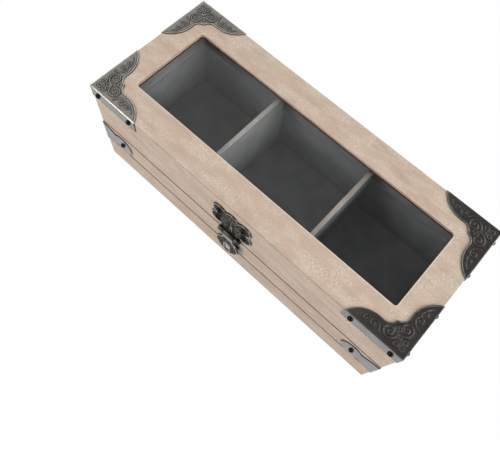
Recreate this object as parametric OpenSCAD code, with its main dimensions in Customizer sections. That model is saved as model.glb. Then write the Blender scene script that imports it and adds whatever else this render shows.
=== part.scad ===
// Tea bag organizer box: a low wooden casket with three compartments, a hinged lid with a
// glazed window, pressed metal corner mounts and a hasp.
// The box rests on the plane z = 0, the front faces -Y and the long side lies along X.

/* [Box] */
// Outside length of the box
box_l = 240; // [180:1:320]
// Outside depth of the box, front to back
box_w = 98; // [90:1:140]
// Height of the seam between base and lid above the table
base_h = 41; // [40:0.5:60]
// Height of the lid above the seam
lid_h = 36.5; // [32:0.5:50]
// Thickness of the wall boards
wall_t = 4; // [3.8:0.1:5]
// Depth of board that is left at each end of a long board, where the end board is let in
corner_lap = 2; // [1.5:0.1:2.4]
// Open gap between base and lid when shut
seam_gap = 0.5; // [0.3:0.05:0.8]
// Chamfer on the outer edges at the seam
seam_chamfer = 0.4; // [0.3:0.1:1.2]

/* [Grooves] */
// Height of the sunk line round the base above the table
groove_z = 20.5; // [18:0.5:22]
// Width of the sunk line round the base
groove_w = 1.2; // [0.6:0.1:2]
// Depth of the sunk line round the base
groove_d = 0.8; // [0.4:0.1:1]
// Height of the fine strip joint in the lid above the seam
strip_line_z = 19.5; // [15:0.5:22]
// Width of the fine strip joint
strip_line_w = 0.5; // [0.3:0.1:1]
// Depth of the fine strip joint
strip_line_d = 0.35; // [0.2:0.05:0.8]

/* [Bottom panel] */
// Thickness of the bottom panel
bottom_t = 3; // [2:0.5:5]
// How far the bottom panel is let into the walls
bottom_let_in = 2; // [1.5:0.1:2.4]
// Clearance round a panel that is let in
panel_gap = 0.1; // [0.05:0.05:0.3]

/* [Dividers] */
// Thickness of a divider
divider_t = 3; // [2:0.5:4]
// Depth of the groove that a divider slides in
dado_d = 1.2; // [0.8:0.1:1.5]
// How far a divider stands above the seam
divider_rise = 17; // [0:1:18]
// Room between the raised part of a divider and the walls of the lid
divider_setback = 2.4; // [2.2:0.1:5]
// Radius of the top corners of a divider
divider_r = 6; // [2:0.5:10]

/* [Lid window] */
// Thickness of the top frame
top_t = 3; // [2:0.5:5]
// Length of the window
window_l = 202; // [150:1:210]
// Width of the window
window_w = 58; // [40:1:66]
// Radius of the window corners
window_r = 2.2; // [1:0.1:6]
// Thickness of the glass pane
pane_t = 2; // [1.5:0.5:4]
// Room round the glass pane
pane_gap = 0.3; // [0.1:0.1:1]
// Width of the beads that carry the pane
bead_w = 5; // [3:0.5:7]
// Height of the beads that carry the pane
bead_h = 5; // [3:0.5:7]

/* [Lid corner mounts] */
// Thickness of the pressed sheet
sheet_t = 0.6; // [0.5:0.1:1]
// Length of each leg along the box edge
mount_leg = 38.5; // [34:0.5:42]
// Radius of the round lobe at the end of a leg
lobe_r = 18.4; // [17:0.1:20]
// Greatest width of the lobe
lobe_rise = 10.1; // [9:0.1:12]
// Radius of the hollow between lobe and cusp
hollow_r = 5.4; // [4.5:0.1:6.5]
// Turn of the lobe before the hollow begins, in degrees from the leg
hollow_turn = 95.5; // [92:0.5:100]
// Depth of the flanges down the sides of the box
flange_h = 8.7; // [8:0.1:14]
// Width of the raised rim
rim_w = 1.1; // [0.7:0.1:1.6]
// Height of the raised rim
rim_h = 0.3; // [0.2:0.1:0.8]
// Radius of the folded edges
fold_r = 0.5; // [0.3:0.1:0.7]
// Distance of the first flange tack from the corner
mount_tack_near = 5.8; // [5:0.1:9]
// Distance of the second flange tack from the corner
mount_tack_far = 33; // [28:0.5:36]
// Distance of the flange tacks below the top of the box
mount_tack_drop = 4.4; // [4.2:0.1:6]

/* [Base corner mounts] */
// Height of the mount's middle above the table
clasp_z = 29.4; // [27:0.1:30]
// Half height of the mount at the corner
clasp_half = 9.8; // [8:0.1:10.2]
// Distance of the notch from the corner
clasp_notch = 11.6; // [11:0.1:13]
// Distance of the round ear's middle from the corner
clasp_ear = 17.9; // [16:0.1:19]
// Radius of the round ear
clasp_ear_r = 8.5; // [8:0.1:10]

/* [Tacks] */
// Diameter of a tack head
tack_head_d = 3.6; // [3.2:0.1:4]
// Height of a tack head
tack_head_h = 1.5; // [1:0.1:1.6]
// Diameter of a tack shank
tack_shank_d = 1.2; // [0.8:0.1:1.4]
// Length of a tack shank under its head
tack_shank_l = 3; // [2.4:0.1:3.5]
// Clearance round a tack shank in its hole
tack_gap = 0.05; // [0.02:0.01:0.1]

/* [Hinges] */
// Distance of each hinge's middle from the end of the box
hinge_inset = 45; // [42:1:60]
// Width of a hinge
hinge_w = 24; // [20:1:30]
// Length of a hinge leaf, from the pin to its end
hinge_leaf = 11; // [9:0.5:13]
// Thickness of a hinge leaf
leaf_t = 0.9; // [0.6:0.1:1]
// Radius of the rolled knuckles
knuckle_r = 1.8; // [1.6:0.1:2.2]
// Distance of the hinge pin from the back of the box
hinge_off = 2.1; // [2:0.1:2.6]
// Radius of the hinge pin
pin_r = 0.8; // [0.6:0.05:1]
// Running clearance round a pin
pin_gap = 0.05; // [0.02:0.01:0.1]
// Gap between neighbouring knuckles
knuckle_gap = 0.3; // [0.2:0.05:0.6]
// Distance of the hinge nails from the hinge pin
hinge_nail_z = 7.2; // [6.5:0.1:9]
// Distance of each hinge nail from the middle of the hinge
hinge_nail_x = 7.5; // [6:0.5:9]
// Angle at which the stop lips hold the lid
lid_open = 105; // [95:1:110]
// Length of the stop lip from the hinge pin
stop_l = 3.6; // [3.2:0.1:4.4]
// Gap between the stop lip and the lower leaf when the lid is open
stop_gap = 0.1; // [0.05:0.05:0.2]
// Length of the peened heads of the pins
pin_head = 0.5; // [0.3:0.1:0.8]
// Radius that a peened head adds to its pin
pin_flare = 0.4; // [0.2:0.1:0.6]

/* [Hasp] */
// Height of the hasp's pin above the seam
hasp_pin_up = 2.4; // [2.2:0.1:4]
// Distance of the hasp's pin from the front of the box
hasp_off = 2; // [2:0.1:2.6]
// Radius of the hasp's knuckles
hasp_knuckle_r = 1.7; // [1.5:0.1:2]
// Radius of the hasp's pin
hasp_pin_r = 0.7; // [0.5:0.05:0.9]
// Half width of the tongue's knuckle
tongue_knuckle = 4.3; // [3:0.1:5]
// Width of each knuckle of the lid plate
plate_knuckle = 4; // [3:0.1:5]
// Thickness of the lid plate and the catch plate
plate_t = 0.9; // [0.6:0.1:1.2]
// Distance of the upper lobes from the middle of the lid plate
plate_upper_x = 9.8; // [8:0.1:11]
// Height of the upper lobes above the seam
plate_upper_z = 23.5; // [22:0.5:24]
// Radius of the upper lobes
plate_upper_r = 5.6; // [4:0.1:6]
// Distance of the lower lobes from the middle of the lid plate
plate_lower_x = 10.5; // [8:0.1:11]
// Height of the lower lobes above the seam
plate_lower_z = 12.8; // [12:0.1:14]
// Radius of the lower lobes
plate_lower_r = 6; // [4:0.1:6.5]
// Height of the crown of the lid plate above the seam
plate_crown_z = 29.6; // [28:0.1:30]
// Thickness of the tongue
tongue_t = 1; // [0.7:0.1:1.2]
// Radius of the tongue's round body
tongue_r = 9.5; // [8:0.1:10.5]
// Distance of the round body's middle below the seam
tongue_drop = 12; // [11.5:0.1:13]
// Distance of the tongue's tip below the seam
tongue_tip = 25.5; // [24:0.5:28]
// Width of the slot in the tongue
slot_w = 3.8; // [3.4:0.1:4.4]
// Top of the slot, below the seam
slot_top = 10.5; // [9:0.5:11]
// Bottom of the slot, below the seam
slot_bottom = 21.5; // [20:0.5:22]
// Radius of the catch stud
stud_r = 1.5; // [1:0.1:1.6]
// Distance of the catch stud below the seam
stud_drop = 12.6; // [12.2:0.1:14]
// Height of the catch stud over its plate
stud_h = 2.5; // [2:0.1:2.6]
// Radius of the catch plate
catch_r = 8.2; // [7:0.1:9]
// Distance of each catch plate tack from the middle
catch_tack_x = 5.4; // [4.5:0.1:6]
// Height of the low heads of the catch plate tacks
catch_head_h = 0.9; // [0.6:0.1:1]

/* [Hidden] */
$fn = 48;
// Cuts run past the faces that they open by this much
over = 1;
// Heights above the table
box_h = base_h + lid_h;
base_top = base_h - seam_gap / 2;
lid_bottom = base_h + seam_gap / 2;
frame_z = box_h - top_t;
pane_z = frame_z - pane_t;
bead_z = pane_z - bead_h;
// Inside faces of the walls
inner_x = box_l / 2 - wall_t;
inner_y = box_w / 2 - wall_t;
lap_y = box_w / 2 - corner_lap;
// Distance of each divider's middle from the middle of the box, for three equal compartments
compartment_l = (2 * inner_x - 2 * divider_t) / 3;
divider_x = (compartment_l + divider_t) / 2;
// Radius of a drilled tack hole
tack_hole_r = tack_shank_d / 2 + tack_gap;
// Places of the two tacks along a leg of a lid corner mount
mount_tacks = [mount_tack_near, mount_tack_far];
// Lobe and hollow of the ogee edge, in the plane of the lid with the box corner at [0, 0]
lobe_c = [mount_leg - sqrt(pow(lobe_r, 2) - pow(lobe_rise - lobe_r, 2)), lobe_rise - lobe_r];
hollow_c = lobe_c + (lobe_r + hollow_r) * [cos(hollow_turn), sin(hollow_turn)];
// Hinge and hasp axes
hinge_x = box_l / 2 - hinge_inset;
hinge_y = box_w / 2 + hinge_off;
hasp_y = -box_w / 2 - hasp_off;
hasp_z = base_h + hasp_pin_up;
hasp_half = tongue_knuckle + knuckle_gap + plate_knuckle;
knuckle_w = (hinge_w - 2 * knuckle_gap) / 3;
knuckle_step = knuckle_w + knuckle_gap;
// The stop lip grows out of the middle of its knuckle's wall
lip_root = (pin_r + pin_gap + knuckle_r) / 2;

// Frame of one vertical face: x runs along it, y runs up and z points outwards.
// Faces are counted from the front: 0 front, 1 right, 2 back, 3 left.
module on_face(side) {
    out = (side == 0 || side == 2) ? box_w / 2 : box_l / 2;
    rotate([0, 0, 90 * side]) translate([0, -out, 0]) rotate([90, 0, 0]) children();
}

// Frame of one corner of the box: x and y run inwards along the two edges that meet there.
module at_corner(side_x, side_y) {
    translate([side_x * box_l / 2, side_y * box_w / 2, 0])
        mirror([side_x > 0 ? 1 : 0, 0, 0])
            mirror([0, side_y > 0 ? 1 : 0, 0])
                children();
}

// Repeats its children on both outer faces of a corner: z points out of the face, y points up
// and the box corner is at x = 0.
module on_both_faces() {
    rotate([90, 0, 0]) children();
    mirror([1, -1, 0]) rotate([90, 0, 0]) children();
}

// One hole for a tack shank, along -z from the outer face of the wood.
module tack_hole() {
    translate([0, 0, sheet_t - tack_shank_l - tack_gap])
        cylinder(r = tack_hole_r, h = tack_shank_l + over);
}

// One domed tack. Its head stands on z = 0 and its shank points along -z.
module tack(head_h = tack_head_h) {
    dome_r = (pow(tack_head_d / 2, 2) + pow(head_h, 2)) / (2 * head_h);
    rise = asin(min(1, tack_head_d / 2 / dome_r));
    steps = 6;
    rotate_extrude($fn = 24)
        polygon([[0, -tack_shank_l], [tack_shank_d / 2, -tack_shank_l], [tack_shank_d / 2, 0],
            for (i = [0:steps]) let (a = rise * (1 - i / steps))
                [dome_r * sin(a), head_h - dome_r + dome_r * cos(a)]]);
}

// Holes of the four lid mounts, in the lid walls.
module lid_mount_holes() {
    for (sx = [-1, 1], sy = [-1, 1])
        at_corner(sx, sy) on_both_faces() for (u = mount_tacks)
            translate([u, box_h - mount_tack_drop, 0]) tack_hole();
}

// Holes of the four base mounts, in the base walls.
module base_mount_holes() {
    for (sx = [-1, 1], sy = [-1, 1])
        at_corner(sx, sy) on_both_faces() translate([clasp_ear, clasp_z, 0]) tack_hole();
}

// Repeats its children at the nails of both hinges on one side of the pin: 1 lid, -1 base.
module at_hinge_nails(up) {
    for (sx = [-1, 1], nx = [-1, 1])
        on_face(2) translate([sx * hinge_x + nx * hinge_nail_x, base_h + up * hinge_nail_z, 0]) children();
}

// Repeats its children at the tacks of the hasp plate, on the front of the lid.
module at_plate_tacks() {
    for (sx = [-1, 1]) {
        on_face(0) translate([sx * plate_upper_x, base_h + plate_upper_z, 0]) children();
        on_face(0) translate([sx * plate_lower_x, base_h + plate_lower_z, 0]) children();
    }
}

// Repeats its children at the tacks of the catch plate, on the front of the base.
module at_catch_tacks() {
    for (sx = [-1, 1])
        on_face(0) translate([sx * catch_tack_x, base_h - tongue_drop, 0]) children();
}

// Frame of boards as high as z0 to z1, one of its four sides. The long boards run the whole
// length and lap over the ends of the short boards.
module board(side, z0, z1) {
    if (side == 0 || side == 2)
        difference() {
            on_face(side) translate([-box_l / 2, z0, -wall_t]) cube([box_l, z1 - z0, wall_t]);
            for (sx = [-1, 1])
                on_face(side) translate([sx * (inner_x + box_l / 2 + over) / 2, (z0 + z1) / 2,
                    -(wall_t + over + corner_lap) / 2])
                    cube([box_l / 2 + over - inner_x, z1 - z0 + 2 * over, wall_t + over - corner_lap],
                        center = true);
        }
    else
        on_face(side) translate([-lap_y, z0, -wall_t]) cube([2 * lap_y, z1 - z0, wall_t]);
}

// A straight sunk line round all four faces at height z.
module sunk_line(z, w, d) {
    difference() {
        translate([0, 0, z]) cube([box_l + 2 * over, box_w + 2 * over, w], center = true);
        translate([0, 0, z]) cube([box_l - 2 * d, box_w - 2 * d, w + over], center = true);
    }
}

// Chamfer along the four outer edges at height z, cut from above or below.
module seam_chamfers(z) {
    for (side = [0:3]) {
        half = (side == 0 || side == 2) ? box_l / 2 + over : box_w / 2 + over;
        on_face(side) translate([-half, z, 0]) rotate([0, 90, 0])
            cylinder(r = seam_chamfer, h = 2 * half, $fn = 4);
    }
}

// Grooves that the dividers slide in.
module divider_grooves() {
    for (side_x = [-1, 1])
        translate([side_x * divider_x, 0, bottom_t + base_h / 2])
            cube([divider_t + 2 * panel_gap, 2 * (inner_y + dado_d), base_h], center = true);
}

// Rebate under the walls that the bottom panel lies in.
module bottom_rebate() {
    translate([0, 0, (bottom_t - over) / 2])
        cube([2 * (inner_x + bottom_let_in), 2 * (inner_y + bottom_let_in), bottom_t + over], center = true);
}

// One wall board of the base with all its cuts.
module base_board(side) {
    color("tan")
        difference() {
            board(side, 0, base_top);
            bottom_rebate();
            divider_grooves();
            sunk_line(groove_z, groove_w, groove_d);
            seam_chamfers(base_top);
            base_mount_holes();
            at_hinge_nails(-1) tack_hole();
            at_catch_tacks() tack_hole();
        }
}

// One wall rail of the lid with all its cuts.
module lid_rail(side) {
    color("tan")
        difference() {
            board(side, lid_bottom, frame_z);
            sunk_line(base_h + strip_line_z, strip_line_w, strip_line_d);
            seam_chamfers(lid_bottom);
            lid_mount_holes();
            at_hinge_nails(1) tack_hole();
            at_plate_tacks() tack_hole();
        }
}

module bottom_panel() {
    half_x = inner_x + bottom_let_in - panel_gap;
    half_y = inner_y + bottom_let_in - panel_gap;
    color("burlywood") translate([-half_x, -half_y, 0]) cube([2 * half_x, 2 * half_y, bottom_t]);
}

// Outline of a divider, seen from the end of the box: the foot fills the grooves and the raised
// part is set back from the walls of the lid and has round corners.
module divider_outline() {
    half = inner_y - divider_setback;
    top = base_h + divider_rise;
    foot = inner_y + dado_d - panel_gap;
    translate([-foot, bottom_t]) square([2 * foot, base_top - bottom_t]);
    translate([-half, bottom_t]) square([2 * half, top - divider_r - bottom_t]);
    translate([divider_r - half, bottom_t]) square([2 * (half - divider_r), top - bottom_t]);
    for (sy = [-1, 1]) translate([sy * (half - divider_r), top - divider_r]) circle(r = divider_r);
}

module divider(side_x) {
    color("dimgray")
        translate([side_x * divider_x - divider_t / 2, 0, 0]) rotate([90, 0, 90])
            linear_extrude(divider_t) divider_outline();
}

// Rectangle with round corners, about its middle.
module rounded_rectangle(l, w, r) {
    square([l - 2 * r, w], center = true);
    square([l, w - 2 * r], center = true);
    for (sx = [-1, 1], sy = [-1, 1]) translate([sx * (l / 2 - r), sy * (w / 2 - r)]) circle(r = r);
}

module lid_top_frame() {
    color("wheat") translate([0, 0, frame_z]) linear_extrude(top_t)
        difference() {
            square([box_l, box_w], center = true);
            rounded_rectangle(window_l, window_w, window_r);
        }
}

module glass_pane() {
    color("gray", 0.4) translate([0, 0, pane_z + pane_t / 2])
        cube([2 * (inner_x - pane_gap), 2 * (inner_y - pane_gap), pane_t], center = true);
}

// Bead under the edge of the pane. The long beads run the whole length of the lid.
module pane_bead(side) {
    long = side == 0 || side == 2;
    half = long ? inner_x : inner_y - bead_w;
    color("peru") on_face(side) translate([-half + panel_gap, bead_z, -wall_t - bead_w])
        cube([2 * (half - panel_gap), bead_h, bead_w]);
}

// Points of the ogee edge from the leg's end to the cusp on the diagonal. The edge is drawn
// this far inside its true line. The cusp is where the hollow meets the diagonal.
function ogee_half(inset) =
    let (r1 = lobe_r - inset, r2 = hollow_r + inset)
    let (a0 = asin(-lobe_c[1] / r1))
    let (m = (hollow_c[0] + hollow_c[1]) / 2, q = (hollow_c[0] - hollow_c[1]) / 2)
    let (cusp = m - sqrt(pow(r2, 2) / 2 - pow(q, 2)))
    let (b0 = hollow_turn + 180, b1 = atan2(cusp - hollow_c[1], cusp - hollow_c[0]))
    let (b_end = b1 < 0 ? b1 + 360 : b1)
    let (steps = 12)
    concat([for (i = [0:steps]) let (a = a0 + (hollow_turn - a0) * i / steps)
            lobe_c + r1 * [cos(a), sin(a)]],
        [for (i = [1:steps]) let (b = b0 + (b_end - b0) * i / steps) hollow_c + r2 * [cos(b), sin(b)]]);

// Whole ogee edge, mirrored about the diagonal, with the two fold lines of the corner.
function ogee_outline(inset, corner) =
    let (half = ogee_half(inset), n = len(half))
    concat([[corner, corner], [half[0][0], corner]], half,
        [for (i = [n - 2:-1:0]) [half[i][1], half[i][0]]], [[corner, half[0][0]]]);

// Raised rim that follows the ogee edge.
module ogee_rim() {
    difference() {
        polygon(ogee_outline(0, 0));
        polygon(ogee_outline(rim_w, -over));
    }
}

// Rounds the fold between two sheets: cut along x with its outer corner at the origin.
module fold_round(l) {
    difference() {
        translate([-over, -over, -over]) cube([l + 2 * over, fold_r + over, fold_r + over]);
        translate([-2 * over, fold_r, fold_r]) rotate([0, 90, 0])
            cylinder(r = fold_r, h = l + 4 * over, $fn = 32);
    }
}

// Pressed corner mount of the lid: ogee plate on the top and a flange down each side.
module lid_mount(side_x, side_y) {
    reach = mount_leg + sheet_t;
    color("darkslategray")
        at_corner(side_x, side_y)
            difference() {
                union() {
                    translate([0, 0, box_h]) linear_extrude(sheet_t) polygon(ogee_outline(0, -sheet_t));
                    translate([0, 0, box_h + sheet_t]) linear_extrude(rim_h) ogee_rim();
                    on_both_faces() translate([-sheet_t, box_h - flange_h, 0])
                        cube([reach, flange_h + sheet_t, sheet_t]);
                }
                on_both_faces() for (u = mount_tacks)
                    translate([u, box_h - mount_tack_drop, 0]) tack_hole();
                translate([-sheet_t, -sheet_t, box_h + sheet_t]) mirror([0, 0, 1]) fold_round(reach);
                translate([-sheet_t, -sheet_t, box_h + sheet_t]) mirror([1, -1, 0]) mirror([0, 0, 1])
                    fold_round(reach);
                translate([-sheet_t, -sheet_t, box_h - flange_h]) rotate([0, -90, 0]) mirror([0, 0, 1])
                    fold_round(flange_h + sheet_t);
            }
}

module lid_mount_tacks() {
    color("black")
        for (sx = [-1, 1], sy = [-1, 1])
            at_corner(sx, sy) on_both_faces() for (u = mount_tacks)
                translate([u, box_h - mount_tack_drop, sheet_t]) tack();
}

// Outline of one wing of a base mount: from the corner it falls to a notch, and a round ear ends it.
module clasp_outline() {
    fall = sqrt(pow(clasp_ear_r, 2) - pow(clasp_ear - clasp_notch, 2));
    steps = 6;
    // The edge runs a little way into the ear
    edge = [for (i = [1:steps]) let (t = 1.05 * i / steps)
        [t * clasp_notch, clasp_half - (clasp_half - fall) * pow(t, 1.4)]];
    polygon(concat([[-sheet_t, -clasp_half], [-sheet_t, clasp_half]], edge, [[clasp_ear, 0]],
        [for (i = [steps - 1:-1:0]) [edge[i][0], -edge[i][1]]]));
    translate([clasp_ear, 0]) circle(r = clasp_ear_r);
}

// Corner mount of the base: two wings folded round the upright edge.
module base_mount(side_x, side_y) {
    color("darkslategray")
        at_corner(side_x, side_y)
            difference() {
                on_both_faces() translate([0, clasp_z, 0])
                    difference() {
                        linear_extrude(sheet_t) clasp_outline();
                        translate([clasp_ear, 0, 0]) tack_hole();
                    }
                translate([-sheet_t, -sheet_t, clasp_z - clasp_half]) rotate([0, -90, 0])
                    mirror([0, 0, 1]) fold_round(2 * clasp_half);
            }
}

module base_mount_tacks() {
    color("black")
        for (sx = [-1, 1], sy = [-1, 1])
            at_corner(sx, sy) on_both_faces() translate([clasp_ear, clasp_z, sheet_t]) tack();
}

// Rolled knuckle along x about the pin, from x0 to x1.
module knuckle(x0, x1, r) {
    translate([x0, 0, 0]) rotate([0, 90, 0]) cylinder(r = r, h = x1 - x0);
}

// Bore for a pin along x.
module pin_bore(half, r) {
    translate([-half - over, 0, 0]) rotate([0, 90, 0]) cylinder(r = r, h = 2 * (half + over));
}

// Frame of one hinge: its pin lies along x and y points away from the back of the box.
module at_hinge(side_x) {
    translate([side_x * hinge_x, hinge_y, base_h]) children();
}

// One leaf with its knuckles: up is 1 for the lid and -1 for the base. The base carries the two
// outer knuckles and the lid the middle one, with the lip that stops the lid.
module hinge_leaf(side_x, up) {
    clear = knuckle_r + knuckle_gap;
    first = -hinge_w / 2;
    color("darkslategray")
        difference() {
            at_hinge(side_x)
                difference() {
                    union() {
                        translate([first, -hinge_off, up > 0 ? 0 : -hinge_leaf])
                            cube([hinge_w, leaf_t, hinge_leaf]);
                        for (i = up > 0 ? [1] : [0, 2])
                            translate([first + i * knuckle_step, 0, 0]) knuckle(0, knuckle_w, knuckle_r);
                        if (up > 0)
                            translate([-knuckle_w / 2, 0, 0]) rotate([lid_open, 0, 0])
                                translate([0, leaf_t - hinge_off + stop_gap, -stop_l])
                                    cube([knuckle_w, leaf_t, stop_l - lip_root]);
                    }
                    // Room for the other leaf's knuckles
                    for (i = up > 0 ? [0, 2] : [1])
                        translate([first + i * knuckle_step - knuckle_gap, -hinge_off - over, -clear])
                            cube([knuckle_w + 2 * knuckle_gap, leaf_t + 2 * over, 2 * clear]);
                    pin_bore(hinge_w / 2, pin_r + pin_gap);
                }
            at_hinge_nails(up) tack_hole();
        }
}

// Pin along x with a peened head at each end.
module peened_pin(half, r) {
    color("dimgray") rotate([0, 90, 0])
        union() {
            cylinder(r = r, h = 2 * half, center = true);
            for (s = [-1, 1]) translate([0, 0, s * (half + pin_head / 2)])
                cylinder(r = r + pin_flare, h = pin_head, center = true);
        }
}

module hinge_pin(side_x) {
    at_hinge(side_x) peened_pin(hinge_w / 2 + pin_gap, pin_r);
}

// Nails of all leaves on one side of the pins.
module hinge_nails(up) {
    color("black") at_hinge_nails(up) translate([0, 0, leaf_t]) tack();
}

// Frame of the hasp: its pin lies along x and y points away from the lid.
module at_hasp() {
    translate([0, hasp_y, hasp_z]) children();
}

// Scalloped outline of the lid plate, with y measured up from the seam.
module plate_outline() {
    foot = hasp_pin_up;
    difference() {
        union() {
            for (sx = [-1, 1]) {
                translate([sx * plate_upper_x, plate_upper_z]) circle(r = plate_upper_r);
                translate([sx * plate_lower_x, plate_lower_z]) circle(r = plate_lower_r);
            }
            translate([0, plate_crown_z - plate_upper_r]) circle(r = plate_upper_r);
            translate([-plate_upper_x, plate_lower_z])
                square([2 * plate_upper_x, plate_upper_z - plate_lower_z]);
            translate([-hasp_half, foot]) square([2 * hasp_half, plate_lower_z - foot]);
        }
        translate([-tongue_knuckle - knuckle_gap, -over])
            square([2 * (tongue_knuckle + knuckle_gap), foot + hasp_knuckle_r + knuckle_gap + over]);
    }
}

module hasp_plate() {
    color("darkslategray")
        difference() {
            union() {
                on_face(0) translate([0, base_h, 0]) linear_extrude(plate_t) plate_outline();
                at_hasp() for (s = [-1, 1])
                    translate([s * (hasp_half - plate_knuckle / 2), 0, 0])
                        knuckle(-plate_knuckle / 2, plate_knuckle / 2, hasp_knuckle_r);
            }
            at_hasp() pin_bore(hasp_half, hasp_pin_r + pin_gap);
            at_plate_tacks() tack_hole();
        }
}

module hasp_plate_tacks() {
    color("black") at_plate_tacks() translate([0, 0, plate_t]) tack();
}

module hasp_pin() {
    at_hasp() peened_pin(hasp_half + pin_gap, hasp_pin_r);
}

// Round body that narrows to the tip, with y measured down from the seam as negative.
module tongue_outline(inset) {
    r = tongue_r - inset;
    drop = tongue_tip - tongue_drop - inset;
    // The sides leave the circle where they are tangent to it
    a = asin(r / drop);
    translate([0, -tongue_drop]) circle(r = r);
    polygon([[0, -tongue_drop - drop], [r * cos(a), -tongue_drop - r * sin(a)],
        [-r * cos(a), -tongue_drop - r * sin(a)]]);
}

// Tongue of the hasp: a centre knuckle, a round rimmed body with a slot, and a pointed tip.
module hasp_tongue() {
    plane = -hasp_knuckle_r + tongue_t;
    color("darkslategray")
        difference() {
            union() {
                at_hasp() knuckle(-tongue_knuckle, tongue_knuckle, hasp_knuckle_r);
                at_hasp() translate([-tongue_knuckle, -hasp_knuckle_r, -hasp_pin_up - tongue_drop])
                    cube([2 * tongue_knuckle, tongue_t, hasp_pin_up + tongue_drop]);
                translate([0, hasp_y + plane, base_h]) rotate([90, 0, 0]) {
                    linear_extrude(tongue_t) tongue_outline(0);
                    linear_extrude(tongue_t + rim_h)
                        difference() {
                            tongue_outline(0);
                            tongue_outline(rim_w);
                        }
                }
            }
            at_hasp() pin_bore(tongue_knuckle, hasp_pin_r + pin_gap);
            translate([0, hasp_y + plane, base_h]) rotate([90, 0, 0]) translate([0, 0, -over])
                linear_extrude(tongue_t + rim_h + 2 * over) {
                    translate([-slot_w / 2, -slot_bottom + slot_w / 2])
                        square([slot_w, slot_bottom - slot_top - slot_w]);
                    for (y = [slot_top + slot_w / 2, slot_bottom - slot_w / 2])
                        translate([0, -y]) circle(r = slot_w / 2);
                }
        }
}

// Round catch plate with the stud that stands in the tongue's slot.
module catch_plate() {
    color("darkslategray")
        difference() {
            on_face(0) {
                translate([0, base_h - tongue_drop, 0]) cylinder(r = catch_r, h = plate_t);
                translate([0, base_h - stud_drop, 0]) cylinder(r = stud_r, h = plate_t + stud_h);
            }
            at_catch_tacks() tack_hole();
        }
}

module catch_tacks() {
    color("black") at_catch_tacks() translate([0, 0, plate_t]) tack(catch_head_h);
}

base_board(0);  // base_front_board
base_board(1);  // base_right_board
base_board(2);  // base_back_board
base_board(3);  // base_left_board
bottom_panel();
divider(-1);  // divider_left
divider(1);  // divider_right
base_mount(-1, -1);  // base_mount_front_left
base_mount(1, -1);  // base_mount_front_right
base_mount(-1, 1);  // base_mount_back_left
base_mount(1, 1);  // base_mount_back_right
base_mount_tacks();
hinge_leaf(-1, -1);  // hinge_base_leaf_left
hinge_leaf(1, -1);  // hinge_base_leaf_right
hinge_pin(-1);  // hinge_pin_left
hinge_pin(1);  // hinge_pin_right
hinge_nails(-1);  // hinge_base_nails
catch_plate();
catch_tacks();
lid_top_frame();
lid_rail(0);  // lid_front_rail
lid_rail(1);  // lid_right_rail
lid_rail(2);  // lid_back_rail
lid_rail(3);  // lid_left_rail
glass_pane();
pane_bead(0);  // pane_bead_front
pane_bead(1);  // pane_bead_right
pane_bead(2);  // pane_bead_back
pane_bead(3);  // pane_bead_left
lid_mount(-1, -1);  // lid_mount_front_left
lid_mount(1, -1);  // lid_mount_front_right
lid_mount(-1, 1);  // lid_mount_back_left
lid_mount(1, 1);  // lid_mount_back_right
lid_mount_tacks();
hinge_leaf(-1, 1);  // hinge_lid_leaf_left
hinge_leaf(1, 1);  // hinge_lid_leaf_right
hinge_nails(1);  // hinge_lid_nails
hasp_plate();
hasp_plate_tacks();
hasp_pin();
hasp_tongue();
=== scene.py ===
"""Looks of the tea bag organizer box: pale wood, dark inside, glazed lid and antique bronze mounts.

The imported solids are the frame. The wooden boards, the pane, the tacks and the hinges keep their solids
and get their finishes here. The corner mounts, the hasp plate and its tongue are replaced by pressed
sheets with their scroll relief. Sizes in the classes are millimetres, as on the maker's drawing.
"""
import logging
import math
from dataclasses import dataclass, field
from enum import Enum
from typing import Callable, Dict, Iterable, List, Mapping, Optional, Sequence, Tuple, Union
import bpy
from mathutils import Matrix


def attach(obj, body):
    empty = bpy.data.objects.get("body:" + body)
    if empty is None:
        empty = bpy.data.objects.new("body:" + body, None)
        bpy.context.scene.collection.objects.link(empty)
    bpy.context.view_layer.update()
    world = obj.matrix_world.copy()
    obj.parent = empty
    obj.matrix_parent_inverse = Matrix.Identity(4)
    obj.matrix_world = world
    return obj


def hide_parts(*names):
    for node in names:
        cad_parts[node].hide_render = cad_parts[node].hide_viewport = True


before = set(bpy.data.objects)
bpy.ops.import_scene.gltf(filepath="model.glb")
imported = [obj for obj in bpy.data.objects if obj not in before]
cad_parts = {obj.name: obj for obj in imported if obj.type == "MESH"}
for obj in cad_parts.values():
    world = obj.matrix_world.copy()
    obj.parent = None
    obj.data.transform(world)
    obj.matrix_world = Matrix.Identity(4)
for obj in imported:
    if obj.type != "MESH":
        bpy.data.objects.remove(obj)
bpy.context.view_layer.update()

import bmesh
import bpy
import numpy as np
from mathutils import Matrix, Vector
from mathutils.geometry import delaunay_2d_cdt

LOG = logging.getLogger("tea_box")
MM = 0.001
Rgb = Tuple[float, float, float]
Point = Tuple[float, float]
Socket = bpy.types.NodeSocket
Value = Union[float, int, Sequence[float], Socket]


class Body(Enum):
    """The rigid bodies that a piece can ride on."""

    BASE = "base"
    LID = "lid"
    HASP = "hasp"


class Slot(Enum):
    """The record's material slots."""

    WOOD = "pale_wood"
    VENEER = "top_veneer"
    DARK = "dark_panel"
    PANE = "clear_pane"
    BRONZE = "antique_bronze"
    TACK = "black_tack"
    WIRE = "pin_wire"


class Grain(Enum):
    """How the fibres of a board run: the stretch of the pattern along x, y and z."""

    ALONG_X = (1.0, 9.0, 9.0)
    ALONG_Y = (9.0, 1.0, 9.0)


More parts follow.
